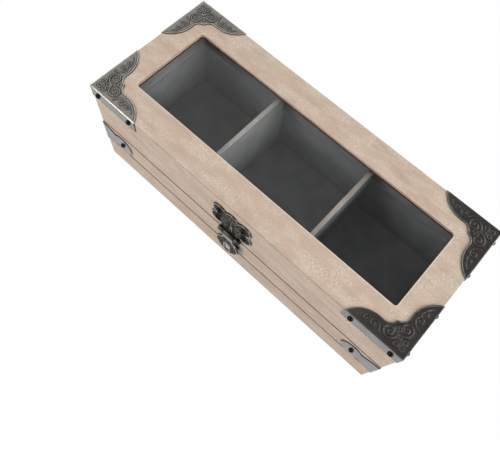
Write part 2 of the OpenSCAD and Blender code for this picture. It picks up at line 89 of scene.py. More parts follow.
def linear(red: int, green: int, blue: int) -> Rgb:
    """Turns a colour as seen on a screen into the shader's linear values.

    Args:
        red: Red from 0 to 255.
        green: Green from 0 to 255.
        blue: Blue from 0 to 255.

    Returns:
        The three linear values.
    """
    def one(part: int) -> float:
        """Linear value of one part."""
        share = part / 255
        return share / 12.92 if share <= 0.04045 else ((share + 0.055) / 1.055) ** 2.4
    return one(red), one(green), one(blue)


# Shader nodes


class NodeSheet:
    """The node tree of one material, with short calls that lay nodes and link them."""

    def __init__(self, name: str) -> None:
        """Starts an empty material.

        Args:
            name: The material's name.
        """
        self.material = bpy.data.materials.new(name)
        self.material.use_nodes = True
        self.tree = self.material.node_tree
        self.tree.nodes.clear()
        self.out = self.tree.nodes.new("ShaderNodeOutputMaterial")
        self.spot = self.add("ShaderNodeTexCoord").outputs["Object"]
        self.place = self.spot

    def add(self, kind: str, sockets: Optional[Mapping[Union[str, int], Value]] = None,
            **settings: object) -> bpy.types.Node:
        """Lays one node.

        Args:
            kind: The node's type.
            sockets: A value or a source for each named or numbered input.
            settings: The node's own settings.

        Returns:
            The new node.
        """
        node = self.tree.nodes.new(kind)
        for key, value in settings.items():
            setattr(node, key, value)
        for key, value in (sockets or {}).items():
            self.feed(node.inputs[key], value)
        return node

    def feed(self, entry: Socket, value: Value) -> None:
        """Links a source to an input, or sets the input's own value.

        Args:
            entry: The input.
            value: A source socket, a number, or a colour or vector.
        """
        if isinstance(value, bpy.types.NodeSocket):
            self.tree.links.new(value, entry)
        elif isinstance(value, (int, float)):
            entry.default_value = value
        else:
            entry.default_value = (*value, 1.0) if len(entry.default_value) == 4 else tuple(value)

    def math(self, operation: str, first: Value, second: Value = 0.0, clamp: bool = False) -> Socket:
        """One sum of two numbers.

        Args:
            operation: The name of the math node's operation.
            first: First number or source.
            second: Second number or source.
            clamp: Whether the result is kept from 0 to 1.

        Returns:
            The result.
        """
        return self.add("ShaderNodeMath", {0: first, 1: second}, operation=operation, use_clamp=clamp).outputs[0]

    def spread(self, source: Socket, low: float, high: float, to_low: float = 0.0, to_high: float = 1.0) -> Socket:
        """Maps a range of a value onto another, smoothly and without passing its ends.

        Args:
            source: The value.
            low: Start of its range.
            high: End of its range.
            to_low: What the start becomes.
            to_high: What the end becomes.

        Returns:
            The mapped value.
        """
        node = self.add("ShaderNodeMapRange", {0: source, 1: low, 2: high, 3: to_low, 4: to_high},
                        interpolation_type="SMOOTHSTEP")
        return node.outputs[0]

    def stretched(self, stretch: Sequence[float]) -> Socket:
        """The place on the piece, stretched along its axes."""
        return self.add("ShaderNodeMapping", {"Vector": self.place, "Scale": stretch}).outputs[0]

    def noise(self, size_mm: float, place: Optional[Socket] = None, detail: float = 2.0,
              roughness: float = 0.5, distortion: float = 0.0) -> Socket:
        """Cloudy noise.

        Args:
            size_mm: The size of one cloud in millimetres.
            place: Where it is read, or the plain place on the piece.
            detail: How many finer layers it has.
            roughness: How strong the finer layers are.
            distortion: How much it is warped.

        Returns:
            The noise from 0 to 1.
        """
        node = self.add("ShaderNodeTexNoise", {"Vector": place or self.place, "Scale": 1000 / size_mm,
                                               "Detail": detail, "Roughness": roughness,
                                               "Distortion": distortion})
        return node.outputs["Fac"]

    def mix(self, share: Value, first: Value, second: Value) -> Socket:
        """Colour between two.

        Args:
            share: How much of the second colour shows.
            first: First colour.
            second: Second colour.

        Returns:
            The mixed colour.
        """
        node = self.add("ShaderNodeMix", data_type="RGBA")
        self.feed(node.inputs[0], share)
        self.feed(node.inputs[6], first)
        self.feed(node.inputs[7], second)
        return node.outputs[2]

    def shade(self, colour: Value, share: Value, strength: float) -> Socket:
        """Darkens a colour by up to strength where share is 1."""
        keep = self.math("SUBTRACT", 1.0, self.math("MULTIPLY", share, strength))
        node = self.add("ShaderNodeVectorMath", operation="SCALE")
        self.feed(node.inputs[0], colour)
        self.feed(node.inputs["Scale"], keep)
        return node.outputs[0]

    def bump(self, height: Socket, strength: float, depth_mm: float, under: Optional[Socket] = None) -> Socket:
        """Fine relief from a height.

        Args:
            height: The height from 0 to 1.
            strength: How much of it shows.
            depth_mm: How deep it is in millimetres.
            under: A relief that lies under it.

        Returns:
            The bent normal.
        """
        sockets: Dict[Union[str, int], Value] = {"Height": height, "Strength": strength, "Distance": depth_mm * MM}
        if under is not None:
            sockets["Normal"] = under
        return self.add("ShaderNodeBump", sockets).outputs[0]

    def axes(self) -> Tuple[Socket, Socket, Socket]:
        """The place on the piece as three numbers, in metres."""
        split = self.add("ShaderNodeSeparateXYZ", {0: self.spot})
        return split.outputs[0], split.outputs[1], split.outputs[2]

    def shift_by_height(self, steps_mm: Sequence[float]) -> None:
        """Moves the pattern along the box above each height, so that each strip shows its own wood."""
        x, y, z = self.axes()
        moved = x
        for number, step in enumerate(steps_mm):
            moved = self.math("ADD", moved, self.math("MULTIPLY", self.math("GREATER_THAN", z, step * MM),
                                                      0.31 + 0.17 * number))
        self.place = self.add("ShaderNodeCombineXYZ", {0: moved, 1: y, 2: z}).outputs[0]

    def inside(self, half_x_mm: float, half_y_mm: float) -> Socket:
        """1 where the place lies inside an upright block about the middle of the box, and 0 outside it.

        Args:
            half_x_mm: Half length of the block.
            half_y_mm: Half depth of the block.

        Returns:
            The mask.
        """
        x, y, _ = self.axes()
        in_x = self.math("LESS_THAN", self.math("ABSOLUTE", x), half_x_mm * MM)
        in_y = self.math("LESS_THAN", self.math("ABSOLUTE", y), half_y_mm * MM)
        return self.math("MULTIPLY", in_x, in_y)

    def band(self, height: Socket, low_mm: float, high_mm: float, soft_mm: float) -> Socket:
        """1 between two heights, with soft ends.

        Args:
            height: The height in metres.
            low_mm: Lower end.
            high_mm: Upper end.
            soft_mm: How far each end fades.

        Returns:
            The mask.
        """
        rise = self.spread(height, (low_mm - soft_mm) * MM, low_mm * MM)
        fall = self.spread(height, high_mm * MM, (high_mm + soft_mm) * MM, 1.0, 0.0)
        return self.math("MULTIPLY", rise, fall)

    def surface(self, colour: Value, roughness: Value, normal: Optional[Socket] = None,
                **fixed: Value) -> bpy.types.Node:
        """The main shader, linked to the output.

        Args:
            colour: Base colour.
            roughness: Roughness.
            normal: Bent normal.
            fixed: Plain values of further inputs, with underscores for spaces.

        Returns:
            The shader node.
        """
        sockets: Dict[Union[str, int], Value] = {"Base Color": colour, "Roughness": roughness}
        if normal is not None:
            sockets["Normal"] = normal
        for key, value in fixed.items():
            sockets[key.replace("_", " ")] = value
        shader = self.add("ShaderNodeBsdfPrincipled", sockets)
        self.tree.links.new(shader.outputs[0], self.out.inputs[0])
        return shader


# Finishes


@dataclass(frozen=True)
class CharcoalPaint:
    """The matt dark paint of the inside, a little cloudy, with the tooth of the wood under it."""

    dark: Rgb = (0.180, 0.181, 0.183)
    light: Rgb = (0.214, 0.215, 0.217)
    # Nearly black: a dark glue line together with painted shade, for the top of the pane beads under the glass.
    glue_and_shade: Rgb = (0.020, 0.015, 0.012)

    def colour(self, sheet: NodeSheet) -> Socket:
        """The paint's colour on a sheet."""
        return sheet.mix(sheet.spread(sheet.noise(14, detail=4), 0.35, 0.65), self.dark, self.light)

    def material(self, name: str, glue_and_shade_mm: float = 1000.0) -> bpy.types.Material:
        """The paint by itself, for a piece that is dark all over.

        Args:
            name: The material's name.
            glue_and_shade_mm: The height above which it is nearly black: a dark glue line together with painted shade
                under the pane.

        Returns:
            The material.
        """
        sheet = NodeSheet(name)
        tooth = sheet.noise(0.6, detail=3)
        rough = sheet.spread(sheet.noise(5), 0.3, 0.7, 0.55, 0.7)
        # Above the given height the paint is nearly black: a dark glue line together with painted shade under the
        # pane.
        glue_and_shade_band = sheet.spread(sheet.axes()[2], (glue_and_shade_mm - 0.6) * MM, glue_and_shade_mm * MM)
        sheet.surface(sheet.mix(glue_and_shade_band, self.colour(sheet), self.glue_and_shade), rough, sheet.bump(tooth, 0.25, 0.06))
        return sheet.material


@dataclass(frozen=True)
class PaleWood:
    """Bare pale wood: soft beige and pink patches, fine fibres, pores and light flecks along the grain."""

    grain: Grain
    beige: Rgb = linear(211, 190, 169)
    pink: Rgb = linear(208, 182, 162)
    light: Rgb = linear(230, 216, 202)
    inside_x_mm: float = 118.4
    inside_y_mm: float = 47.4
    floor_mm: float = 2.5
    sunk_mm: float = 20.5
    seam_mm: float = 41.0
    joint_mm: float = 60.5
    kerf: Rgb = linear(56, 32, 22)
    # Lighter wood along the strip's joint, carrying a painted highlight.
    fresh_and_highlight: Rgb = linear(226, 203, 178)
    paint: CharcoalPaint = CharcoalPaint()

    def bare(self, sheet: NodeSheet) -> Tuple[Socket, Socket]:
        """The wood's colour and its height.

        Args:
            sheet: The node sheet.

        Returns:
            The colour and the height from 0 to 1.
        """
        wide, tall, deep = self.grain.value
        soft = sheet.stretched([1 + (part - 1) * 0.12 for part in (wide, tall, deep)])
        long = sheet.stretched((wide, tall, deep))
        patches = sheet.spread(sheet.noise(22, soft, detail=3), 0.34, 0.66)
        rings = sheet.spread(sheet.noise(46, long, detail=4, roughness=0.55, distortion=0.4), 0.42, 0.66)
        fibres = sheet.noise(7, long, detail=5, roughness=0.65)
        short = sheet.stretched([1 + (part - 1) * 0.4 for part in (wide, tall, deep)])
        cluster = sheet.spread(sheet.noise(15, soft, detail=3), 0.40, 0.62)
        streaks = sheet.stretched([1 + (part - 1) * 0.55 for part in (wide, tall, deep)])
        strokes = sheet.spread(sheet.noise(1.4, streaks, detail=1), 0.52, 0.59)
        flecks = sheet.math("MULTIPLY", cluster, strokes)
        mottle = sheet.spread(sheet.noise(1.8, short, detail=3, roughness=0.6), 0.40, 0.62)
        pores = sheet.spread(sheet.noise(2.4, long, detail=2), 0.59, 0.70)
        colour = sheet.mix(patches, self.beige, self.pink)
        colour = sheet.shade(colour, rings, 0.07)
        colour = sheet.shade(colour, sheet.spread(fibres, 0.35, 0.65), 0.09)
        colour = sheet.shade(colour, mottle, 0.10)
        colour = sheet.mix(sheet.math("MULTIPLY", flecks, 0.9), colour, self.light)
        colour = sheet.shade(colour, pores, 0.18)
        height = sheet.math("SUBTRACT", fibres, sheet.math("MULTIPLY", pores, 0.5))
        return colour, height

    def material(self, name: str) -> bpy.types.Material:
        """The wood, with the dark paint on the inside of the box where that is asked for.

        Args:
            name: The material's name.

        Returns:
            The material.
        """
        sheet = NodeSheet(name)
        sheet.shift_by_height((self.sunk_mm, self.seam_mm, self.joint_mm))
        colour, height = self.bare(sheet)
        _, _, z = sheet.axes()
        # A lighter line along the joint of the lid's strip, fresh-cut wood with a painted highlight on it, and
        # painted shade just below it.
        colour = sheet.mix(sheet.math("MULTIPLY", sheet.band(z, self.joint_mm - 0.2, self.joint_mm + 0.5, 0.2), 0.8),
                           colour, self.fresh_and_highlight)
        colour = sheet.shade(colour, sheet.band(z, self.joint_mm - 1.4, self.joint_mm - 0.5, 0.3), 0.07)
        outer = sheet.math("SUBTRACT", 1.0, sheet.inside(self.inside_x_mm, self.inside_y_mm))
        cuts = sheet.math("MAXIMUM", sheet.band(z, self.sunk_mm - 0.7, self.sunk_mm + 0.7, 0.05),
                          sheet.math("MULTIPLY", outer, sheet.band(z, self.seam_mm - 0.8, self.seam_mm + 0.7, 0.06)))
        colour = sheet.mix(cuts, colour, self.kerf)
        mask = sheet.math("MULTIPLY", sheet.inside(self.inside_x_mm, self.inside_y_mm),
                          sheet.math("GREATER_THAN", z, self.floor_mm * MM))
        colour = sheet.mix(mask, colour, self.paint.colour(sheet))
        rough = sheet.spread(height, 0.3, 0.7, 0.66, 0.54)
        sheet.surface(colour, rough, sheet.bump(height, 0.35, 0.12))
        return sheet.material


@dataclass(frozen=True)
class CutVeneer:
    """The top frame: veneer above, and cut edges with a burnt line where the window was cut, a dark foot that is burn
    with painted shade at the pane's edge, and a painted highlight along the window's front and right arris.
    """

    wood: PaleWood
    top_mm: float = 77.5
    core: Rgb = linear(214, 192, 168)
    scorch_and_shade: Rgb = linear(58, 25, 17)
    window_x_mm: float = 101.4
    window_y_mm: float = 29.4

    def material(self, name: str) -> bpy.types.Material:
        """Veneer on top, with its cut edges.

        Args:
            name: The material's name.

        Returns:
            The material.
        """
        sheet = NodeSheet(name)
        colour, height = self.wood.bare(sheet)
        _, _, z = sheet.axes()
        wander = sheet.math("MULTIPLY", sheet.math("SUBTRACT", sheet.noise(4), 0.5), 0.0005)
        level = sheet.math("ADD", z, wander)
        top = self.top_mm
        edge = sheet.math("SUBTRACT", 1.0, sheet.spread(z, (top - 0.05) * MM, (top - 0.01) * MM))
        line = sheet.band(level, top - 0.55, top - 0.02, 0.1)
        # The lower part of the window's cut face turns dark: burnt wood with painted shade at the pane's edge.
        foot_burn_and_shade = sheet.spread(level, (top - 1.55) * MM, (top - 1.15) * MM, 1.0, 0.0)
        burn_and_shade = sheet.math("MAXIMUM", sheet.math("MAXIMUM", sheet.math("MULTIPLY", line, 0.9), foot_burn_and_shade),
                           sheet.spread(sheet.noise(9), 0.3, 0.7, 0.05, 0.35))
        cut = sheet.mix(burn_and_shade, self.core, self.scorch_and_shade)
        window = sheet.inside(self.window_x_mm, self.window_y_mm)
        x, y, _ = sheet.axes()
        # A lighter line on the top along the window's front and right edges: a painted highlight on the rounded
        # arris, with some sanded lighter wood.
        front = sheet.math("MULTIPLY", sheet.band(y, -self.window_y_mm - 0.1, -self.window_y_mm + 1.0, 0.15),
                           sheet.inside(self.window_x_mm - 2.0, 60.0))
        right = sheet.math("MULTIPLY", sheet.band(x, self.window_x_mm - 1.0, self.window_x_mm + 0.1, 0.15),
                           sheet.inside(120.0, self.window_y_mm - 2.0))
        arris_highlight = sheet.math("MAXIMUM", front, right)
        colour = sheet.mix(sheet.math("MULTIPLY", arris_highlight, 0.75), colour, self.wood.light)
        colour = sheet.mix(sheet.math("MULTIPLY", edge, window), colour, cut)
        rim = sheet.math("MULTIPLY", edge, sheet.math("SUBTRACT", 1.0, window))
        glue = sheet.band(level, top - 0.95, top - 0.2, 0.2)
        colour = sheet.shade(colour, sheet.math("MULTIPLY", rim, glue), 0.42)
        rough = sheet.spread(height, 0.3, 0.7, 0.66, 0.54)
        sheet.surface(colour, rough, sheet.bump(height, 0.35, 0.12))
        return sheet.material


@dataclass(frozen=True)
class PaintedPanel:
    """A divider: dark paint on its faces and bare wood on its upper edge, which greys with smudges and with painted
    shade towards the back.
    """

    wood: PaleWood
    paint: CharcoalPaint

    def material(self, name: str) -> bpy.types.Material:
        """Paint, with the wood bare along the upper edge.

        Args:
            name: The material's name.

        Returns:
            The material.
        """
        sheet = NodeSheet(name)
        bare, height = self.wood.bare(sheet)
        normal = sheet.add("ShaderNodeSeparateXYZ", {0: sheet.add("ShaderNodeTexCoord").outputs["Normal"]})
        upward = sheet.spread(normal.outputs[2], 0.2, 0.45)
        # The bare upper edge greys in smudges, and towards the back as painted shade under the back rail.
        smudge_and_shade = sheet.math("MAXIMUM", sheet.spread(sheet.noise(5), 0.3, 0.7, 0.55, 0.78),
                            sheet.spread(sheet.axes()[1], 0.016, 0.042))
        worn_and_painted_light = sheet.mix(smudge_and_shade, bare, (0.24, 0.237, 0.24))
        colour = sheet.mix(upward, self.paint.colour(sheet), worn_and_painted_light)
        sheet.surface(colour, sheet.spread(height, 0.3, 0.7, 0.68, 0.56), sheet.bump(height, 0.25, 0.08))
        return sheet.material


@dataclass(frozen=True)
class ClearPane:
    """Clear glass with a weak reflection, which lets lamps reach the inside, and faint wiping marks."""

    tint: Rgb = (0.955, 0.965, 0.962)
    ior: float = 1.32

    def material(self, name: str) -> bpy.types.Material:
        """The glass.

        Args:
            name: The material's name.

        Returns:
            The material.
        """
        sheet = NodeSheet(name)
        smear = sheet.spread(sheet.noise(22, detail=3, distortion=0.8), 0.45, 0.75, 0.0, 0.035)
        tint = sheet.mix(sheet.noise(60), self.tint, [part * 0.985 for part in self.tint])
        shader = sheet.surface(tint, smear, IOR=self.ior, Transmission_Weight=1.0)
        clear = sheet.add("ShaderNodeBsdfTransparent", {0: self.tint})
        path = sheet.add("ShaderNodeLightPath")
        both = sheet.add("ShaderNodeMixShader", {0: path.outputs["Is Shadow Ray"], 1: shader.outputs[0],
                                                 2: clear.outputs[0]})
        sheet.tree.links.new(both.outputs[0], sheet.out.inputs[0])
        return sheet.material


@dataclass(frozen=True)
class AntiqueBronze:
    """Pressed bronze that was darkened and rubbed: dark in the recesses, with painted shade on the hasp's field and
    the base mounts' upper edges, and brassy on worn edges and on the folds, where it is a painted highlight.
    """

    body: Rgb = (0.250, 0.239, 0.227)
    # Dark of the recesses, also used for painted shade on the hasp and along the base mounts' upper edges.
    cloud: Rgb = (0.205, 0.193, 0.182)
    recess_and_shade: Rgb = (0.030, 0.027, 0.023)
    # Brass for worn edges, also used for the painted highlight on the folds.
    worn_and_painted_light: Rgb = (0.85, 0.80, 0.63)
    edge: Rgb = (0.88, 0.88, 0.88)
    sooty_edge: Rgb = (0.42, 0.42, 0.42)
    rough: float = 0.15

    def material(self, name: str) -> bpy.types.Material:
        """The metal, led by the sheet's own marks: patina with some painted shade, and wear with some painted
        highlight.

        Args:
            name: The material's name.

        Returns:
            The material.
        """
        sheet = NodeSheet(name)
        patina = sheet.add("ShaderNodeAttribute", attribute_name="patina").outputs["Fac"]
        wear = sheet.add("ShaderNodeAttribute", attribute_name="wear").outputs["Fac"]
        clouds = sheet.spread(sheet.noise(7, detail=4), 0.35, 0.65)
        grit = sheet.noise(0.5, detail=3, roughness=0.6)
        # Worn brass, which on the folds is a painted highlight.
        rubbed_and_highlight = sheet.math("MULTIPLY", wear, sheet.spread(sheet.noise(2.2, detail=3), 0.2, 0.5), True)
        # Patina in the hollows, together with painted shade where the sheet marks it.
        darkened_share = sheet.math("MULTIPLY", patina, sheet.spread(grit, 0.2, 0.7, 1.0, 0.82))
        colour = sheet.mix(clouds, self.body, self.cloud)
        colour = sheet.mix(darkened_share, colour, self.recess_and_shade)
        colour = sheet.mix(rubbed_and_highlight, colour, self.worn_and_painted_light)
        rough = sheet.math("ADD", sheet.spread(grit, 0.3, 0.7, self.rough - 0.05, self.rough + 0.08),
                           sheet.math("MULTIPLY", patina, 0.22))
        waves = sheet.bump(sheet.noise(6, detail=2), 0.3, 0.12)
        sheet.surface(colour, rough, sheet.bump(grit, 0.3, 0.02, waves), Metallic=1.0,
                      Specular_Tint=sheet.mix(darkened_share, self.edge, self.sooty_edge))
        return sheet.material


@dataclass(frozen=True)
class BlackLacquer:
    """Glossy black tack heads with a thin dull bloom."""

    deep: Rgb = (0.014, 0.014, 0.014)
    bloom: Rgb = (0.030, 0.029, 0.028)
    edge: Rgb = (0.03, 0.03, 0.03)

    def material(self, name: str) -> bpy.types.Material:
        """The lacquer.

        Args:
            name: The material's name.

        Returns:
            The material.
        """
        sheet = NodeSheet(name)
        cloud = sheet.spread(sheet.noise(0.9, detail=3), 0.4, 0.7)
        rough = sheet.spread(sheet.noise(0.6), 0.3, 0.7, 0.12, 0.24)
        sheet.surface(sheet.mix(cloud, self.deep, self.bloom), rough, sheet.bump(cloud, 0.15, 0.03), Metallic=1.0,
                      Specular_Tint=self.edge)
        return sheet.material


@dataclass(frozen=True)
class PinWire:
    """Drawn wire of the pins, darker where it was peened."""

    bright: Rgb = (0.30, 0.28, 0.24)
    dull: Rgb = (0.12, 0.11, 0.10)

    def material(self, name: str) -> bpy.types.Material:
        """The wire.

        Args:
            name: The material's name.

        Returns:
            The material.
        """
        sheet = NodeSheet(name)
        drawn = sheet.noise(0.5, sheet.stretched((0.08, 1, 1)), detail=3)
        colour = sheet.mix(sheet.spread(drawn, 0.35, 0.65), self.bright, self.dull)
        sheet.surface(colour, sheet.spread(drawn, 0.3, 0.7, 0.3, 0.45), sheet.bump(drawn, 0.2, 0.02), Metallic=1.0)
        return sheet.material


# Sheets with relief


@dataclass(frozen=True)
class Ribbon:
    """One raised scroll line: points on its middle and how wide and high it is there."""

    points: np.ndarray
    half: np.ndarray
    height: float = 0.30

    @classmethod
    def spiral(cls, centre: Point, knots: Sequence[Tuple[float, float]], width: Tuple[float, float] = (0.62, 0.34),
               height: float = 0.30) -> "Ribbon":
        """A scroll that curls in round its eye.

        Args:
            centre: The eye of the scroll.
            knots: Angle in degrees and radius, from the outer end inwards.
            width: Half width at the outer end and at the eye.
            height: Height of the crest.

        Returns:
            The ribbon.
        """
        turn = np.array([knot[0] for knot in knots], float)
        reach = np.array([knot[1] for knot in knots], float)
        steps = np.linspace(0, 1, max(24, int(abs(turn[-1] - turn[0]) / 5)))
        at = np.interp(steps, np.linspace(0, 1, len(turn)), turn)
        radius = cls._smooth(np.interp(steps, np.linspace(0, 1, len(turn)), reach))
        angle = np.radians(at)
        points = np.stack([centre[0] + radius * np.cos(angle), centre[1] + radius * np.sin(angle)], -1)
        return cls(*cls._dense(points, np.interp(steps, [0, 1], width)), height)

    @classmethod
    def stroke(cls, points: Sequence[Point], width: Tuple[float, float] = (0.45, 0.30),
               height: float = 0.26, closed: bool = False) -> "Ribbon":
        """A line through points.

        Args:
            points: Points on its middle.
            width: Half width at its two ends.
            height: Height of the crest.
            closed: Whether it runs back to its start.

        Returns:
            The ribbon.
        """
        path = np.array(list(points) + ([points[0]] if closed else []), float)
        return cls(*cls._dense(path, np.linspace(width[0], width[1], len(path))), height)

    @classmethod
    def oval(cls, centre: Point, long: float, short: float, lean: float, width: float = 0.4,
             height: float = 0.26) -> "Ribbon":
        """A closed loop.

        Args:
            centre: Its middle.
            long: Half length.
            short: Half width of the loop.
            lean: Turn of its long axis in degrees.
            width: Half width of the line.
            height: Height of the crest.

        Returns:
            The ribbon.
        """
        angle = np.radians(np.arange(0, 360, 10))
        a, b = long * np.cos(angle), short * np.sin(angle)
        c, s = math.cos(math.radians(lean)), math.sin(math.radians(lean))
        points = [(centre[0] + c * i - s * j, centre[1] + s * i + c * j) for i, j in zip(a, b)]
        return cls.stroke(points, (width, width), height, closed=True)

    @staticmethod
    def _smooth(values: np.ndarray) -> np.ndarray:
        """Takes the corners out of a row of numbers."""
        padded = np.concatenate([[values[0]] * 2, values, [values[-1]] * 2])
        return np.convolve(padded, np.ones(5) / 5, "valid")

    @staticmethod
    def _dense(points: np.ndarray, half: np.ndarray) -> Tuple[np.ndarray, np.ndarray]:
        """Puts points a tenth of a millimetre apart along a path."""
        steps = np.concatenate([[0], np.cumsum(np.linalg.norm(np.diff(points, axis=0), axis=1))])
        at = np.linspace(0, steps[-1], max(2, int(steps[-1] / 0.1)))
        dense = np.stack([np.interp(at, steps, points[:, k]) for k in (0, 1)], -1)
        return dense, np.interp(at, steps, half)

    def flipped(self) -> "Ribbon":
        """The same ribbon on the other side of the diagonal."""
        return Ribbon(self.points[:, ::-1].copy(), self.half, self.height)

    def mirrored(self) -> "Ribbon":
        """The same ribbon on the other side of the upright middle line."""
        return Ribbon(self.points * np.array([-1.0, 1.0]), self.half, self.height)


@dataclass
class Relief:
    """Height and finish marks of a pressed pattern made of ribbons."""

    ribbons: List[Ribbon]
    groove: float = 0.08

    def read(self, places: np.ndarray) -> Tuple[np.ndarray, np.ndarray, np.ndarray]:
        """Reads the pattern.

        Args:
            places: Points on the sheet, in millimetres.

        Returns:
            Height, patina and wear at each point.
        """
        height = np.zeros(len(places))
        dark = np.zeros(len(places))
        crest = np.zeros(len(places))
        for ribbon in self.ribbons:
            low, high = ribbon.points.min(0) - 2, ribbon.points.max(0) + 2
            near = np.where(((places > low) & (places < high)).all(1))[0]
            if not len(near):
                continue
            gaps = np.linalg.norm(places[near][:, None, :] - ribbon.points[None], axis=2)
            closest = gaps.argmin(1)
            ratio = gaps[np.arange(len(near)), closest] / ribbon.half[closest]
            up = np.clip(1 - ratio ** 5, 0, 1)
            side = np.clip((ratio - 0.5) / 0.2, 0, 1) * np.clip((2.2 - ratio) / 0.4, 0, 1)
            height[near] = np.maximum(height[near], ribbon.height * up)
            crest[near] = np.maximum(crest[near], up)
            dark[near] = np.maximum(dark[near], side)
        dark = dark * (1 - np.clip((crest - 0.93) / 0.06, 0, 1))
        return height - self.groove * dark * (crest < 0.05), dark, 0.12 * np.clip(crest * 1.5 - 0.6, 0, 1)


class Skin:
    """A sheet's visible surface: vertices, faces and the marks that lead its finish."""

    def __init__(self) -> None:
        """Starts an empty surface."""
        self.points: List[np.ndarray] = []
        self.faces: List[Tuple[int, ...]] = []
        self.patina: List[np.ndarray] = []
        self.wear: List[np.ndarray] = []
        self.count = 0

    def put(self, points: np.ndarray, faces: Iterable[Sequence[int]], patina: Value = 0.0, wear: Value = 0.0) -> None:
        """Adds a patch.

        Args:
            points: Its vertices in millimetres.
            faces: Its faces as numbers of those vertices.
            patina: Mark of each vertex, or one for all.
            wear: Mark of each vertex, or one for all.
        """
        flat = np.asarray(points, float).reshape(-1, 3)
        self.points.append(flat)
        self.faces += [tuple(int(i) + self.count for i in face) for face in faces]
        self.patina.append(np.broadcast_to(np.asarray(patina, float), (len(flat),)))
        self.wear.append(np.broadcast_to(np.asarray(wear, float), (len(flat),)))
        self.count += len(flat)

    def grid(self, points: np.ndarray, patina: Value = 0.0, wear: Value = 0.0) -> None:
        """Adds a grid of quads.

        Args:
            points: Vertices as columns by rows by three.
            patina: Mark of each vertex, or one for all.
            wear: Mark of each vertex, or one for all.
        """
        wide, tall = points.shape[:2]
        number = np.arange(wide * tall).reshape(wide, tall)
        faces = np.stack([number[:-1, :-1], number[1:, :-1], number[1:, 1:], number[:-1, 1:]], -1).reshape(-1, 4)
        flat = [np.asarray(mark, float).reshape(-1) if np.ndim(mark) else mark for mark in (patina, wear)]
        self.put(points.reshape(-1, 3), faces, flat[0], flat[1])

    def take(self, other: "Skin", place: Callable[[np.ndarray], np.ndarray], turned: bool = False) -> None:
        """Adds another surface.

        Args:
            other: The surface.
            place: Puts its points into this one's frame.
            turned: Whether its faces are turned over.
        """
        faces = [face[::-1] for face in other.faces] if turned else other.faces
        self.put(place(np.concatenate(other.points)), faces, np.concatenate(other.patina), np.concatenate(other.wear))

    def tube(self, ends: Tuple[float, float], y: float, z: float, radius: float, bore: float, patina: float) -> None:
        """Adds a rolled knuckle along x, with eased ends and a bore.

        Args:
            ends: Where it starts and ends along x.
            y: Place of its axis.
            z: Height of its axis.
            radius: Outer radius.
            bore: Radius of the bore.
            patina: How dark it is.
        """
        low, high, ease = min(ends), max(ends), 0.15
        outer = [(low, radius - ease), (low + ease * 0.3, radius - ease * 0.3), (low + ease, radius),
                 (high - ease, radius), (high - ease * 0.3, radius - ease * 0.3), (high, radius - ease)]
        profile = np.array([(high, bore), (low, bore), *outer, (high, bore)])
        turn = np.radians(np.arange(0, 361, 12))[:, None]
        x = np.broadcast_to(profile[None, :, 0], (len(turn), len(profile)))
        reach = profile[None, :, 1]
        self.grid(np.stack([x, y + reach * np.cos(turn), z + reach * np.sin(turn)], -1), patina, 0.0)

    def mesh(self, name: str, place: Callable[[np.ndarray], np.ndarray], flip: bool, weld_mm: float = 0.01,
             sharp_deg: float = 50.0) -> bpy.types.Object:
        """Builds the object.

        Args:
            name: Its name.
            place: Puts points in millimetres into the box's frame.
            flip: Whether the faces are turned over, for a mirrored piece.
            weld_mm: Vertices closer than this become one.
            sharp_deg: Edges that turn more than this stay sharp.

        Returns:
            The new object.
        """
        mesh = bpy.data.meshes.new(name)
        mesh.from_pydata((place(np.concatenate(self.points)) * MM).tolist(), [], self.faces)
        for key, parts in (("patina", self.patina), ("wear", self.wear)):
            mesh.attributes.new(key, "FLOAT", "POINT").data.foreach_set("value", np.concatenate(parts))
        work = bmesh.new()
        work.from_mesh(mesh)
        bmesh.ops.remove_doubles(work, verts=work.verts, dist=weld_mm * MM)
        bmesh.ops.dissolve_degenerate(work, edges=work.edges, dist=weld_mm * MM * 0.5)
        if flip:
            bmesh.ops.reverse_faces(work, faces=work.faces)
        work.to_mesh(mesh)
        work.free()
        mesh.shade_smooth()
        mesh.set_sharp_from_angle(angle=math.radians(sharp_deg))
        made = bpy.data.objects.new(name, mesh)
        bpy.context.scene.collection.objects.link(made)
        return made


def away(places: np.ndarray, line: np.ndarray) -> np.ndarray:
    """Distance of points to a line of short straight parts.

    Args:
        places: The points.
        line: The line's corners.

    Returns:
        One distance for each point.
    """
    best = np.full(len(places), np.inf)
    for start, end in zip(line[:-1], line[1:]):
        run = end - start
        share = np.clip((places - start) @ run / max(run @ run, 1e-12), 0, 1)
        best = np.minimum(best, np.linalg.norm(places - start - share[:, None] * run, axis=1))
    return best


def rim(gap: np.ndarray, width: float, height: float) -> Tuple[np.ndarray, np.ndarray, np.ndarray]:
    """A raised rim along a cut edge.

    Args:
        gap: Distance of each point from the edge.
        width: Width of the rim.
        height: Height of the rim.

    Returns:
        Height, patina and wear at each point.
    """
    bead = np.clip(1 - np.abs((gap - width * 0.5) / (width * 0.42)) ** 3, 0, 1)
    valley = np.exp(-((gap - width - 0.16) / 0.28) ** 2)
    shoulder = 0.7 * np.clip((0.9 - bead) / 0.2, 0, 1) * (gap < width + 0.2)
    return (height * bead - 0.04 * valley * (bead <= 0), np.maximum(0.85 * valley, shoulder),
            0.75 * np.clip((bead - 0.75) / 0.2, 0, 1))


def drop(gap: np.ndarray, radius: float) -> np.ndarray:
    """How far a rounded edge lies under its face, at each distance from the edge."""
    return radius - np.sqrt(np.clip(radius ** 2 - np.clip(radius - gap, 0, radius) ** 2, 0, None))


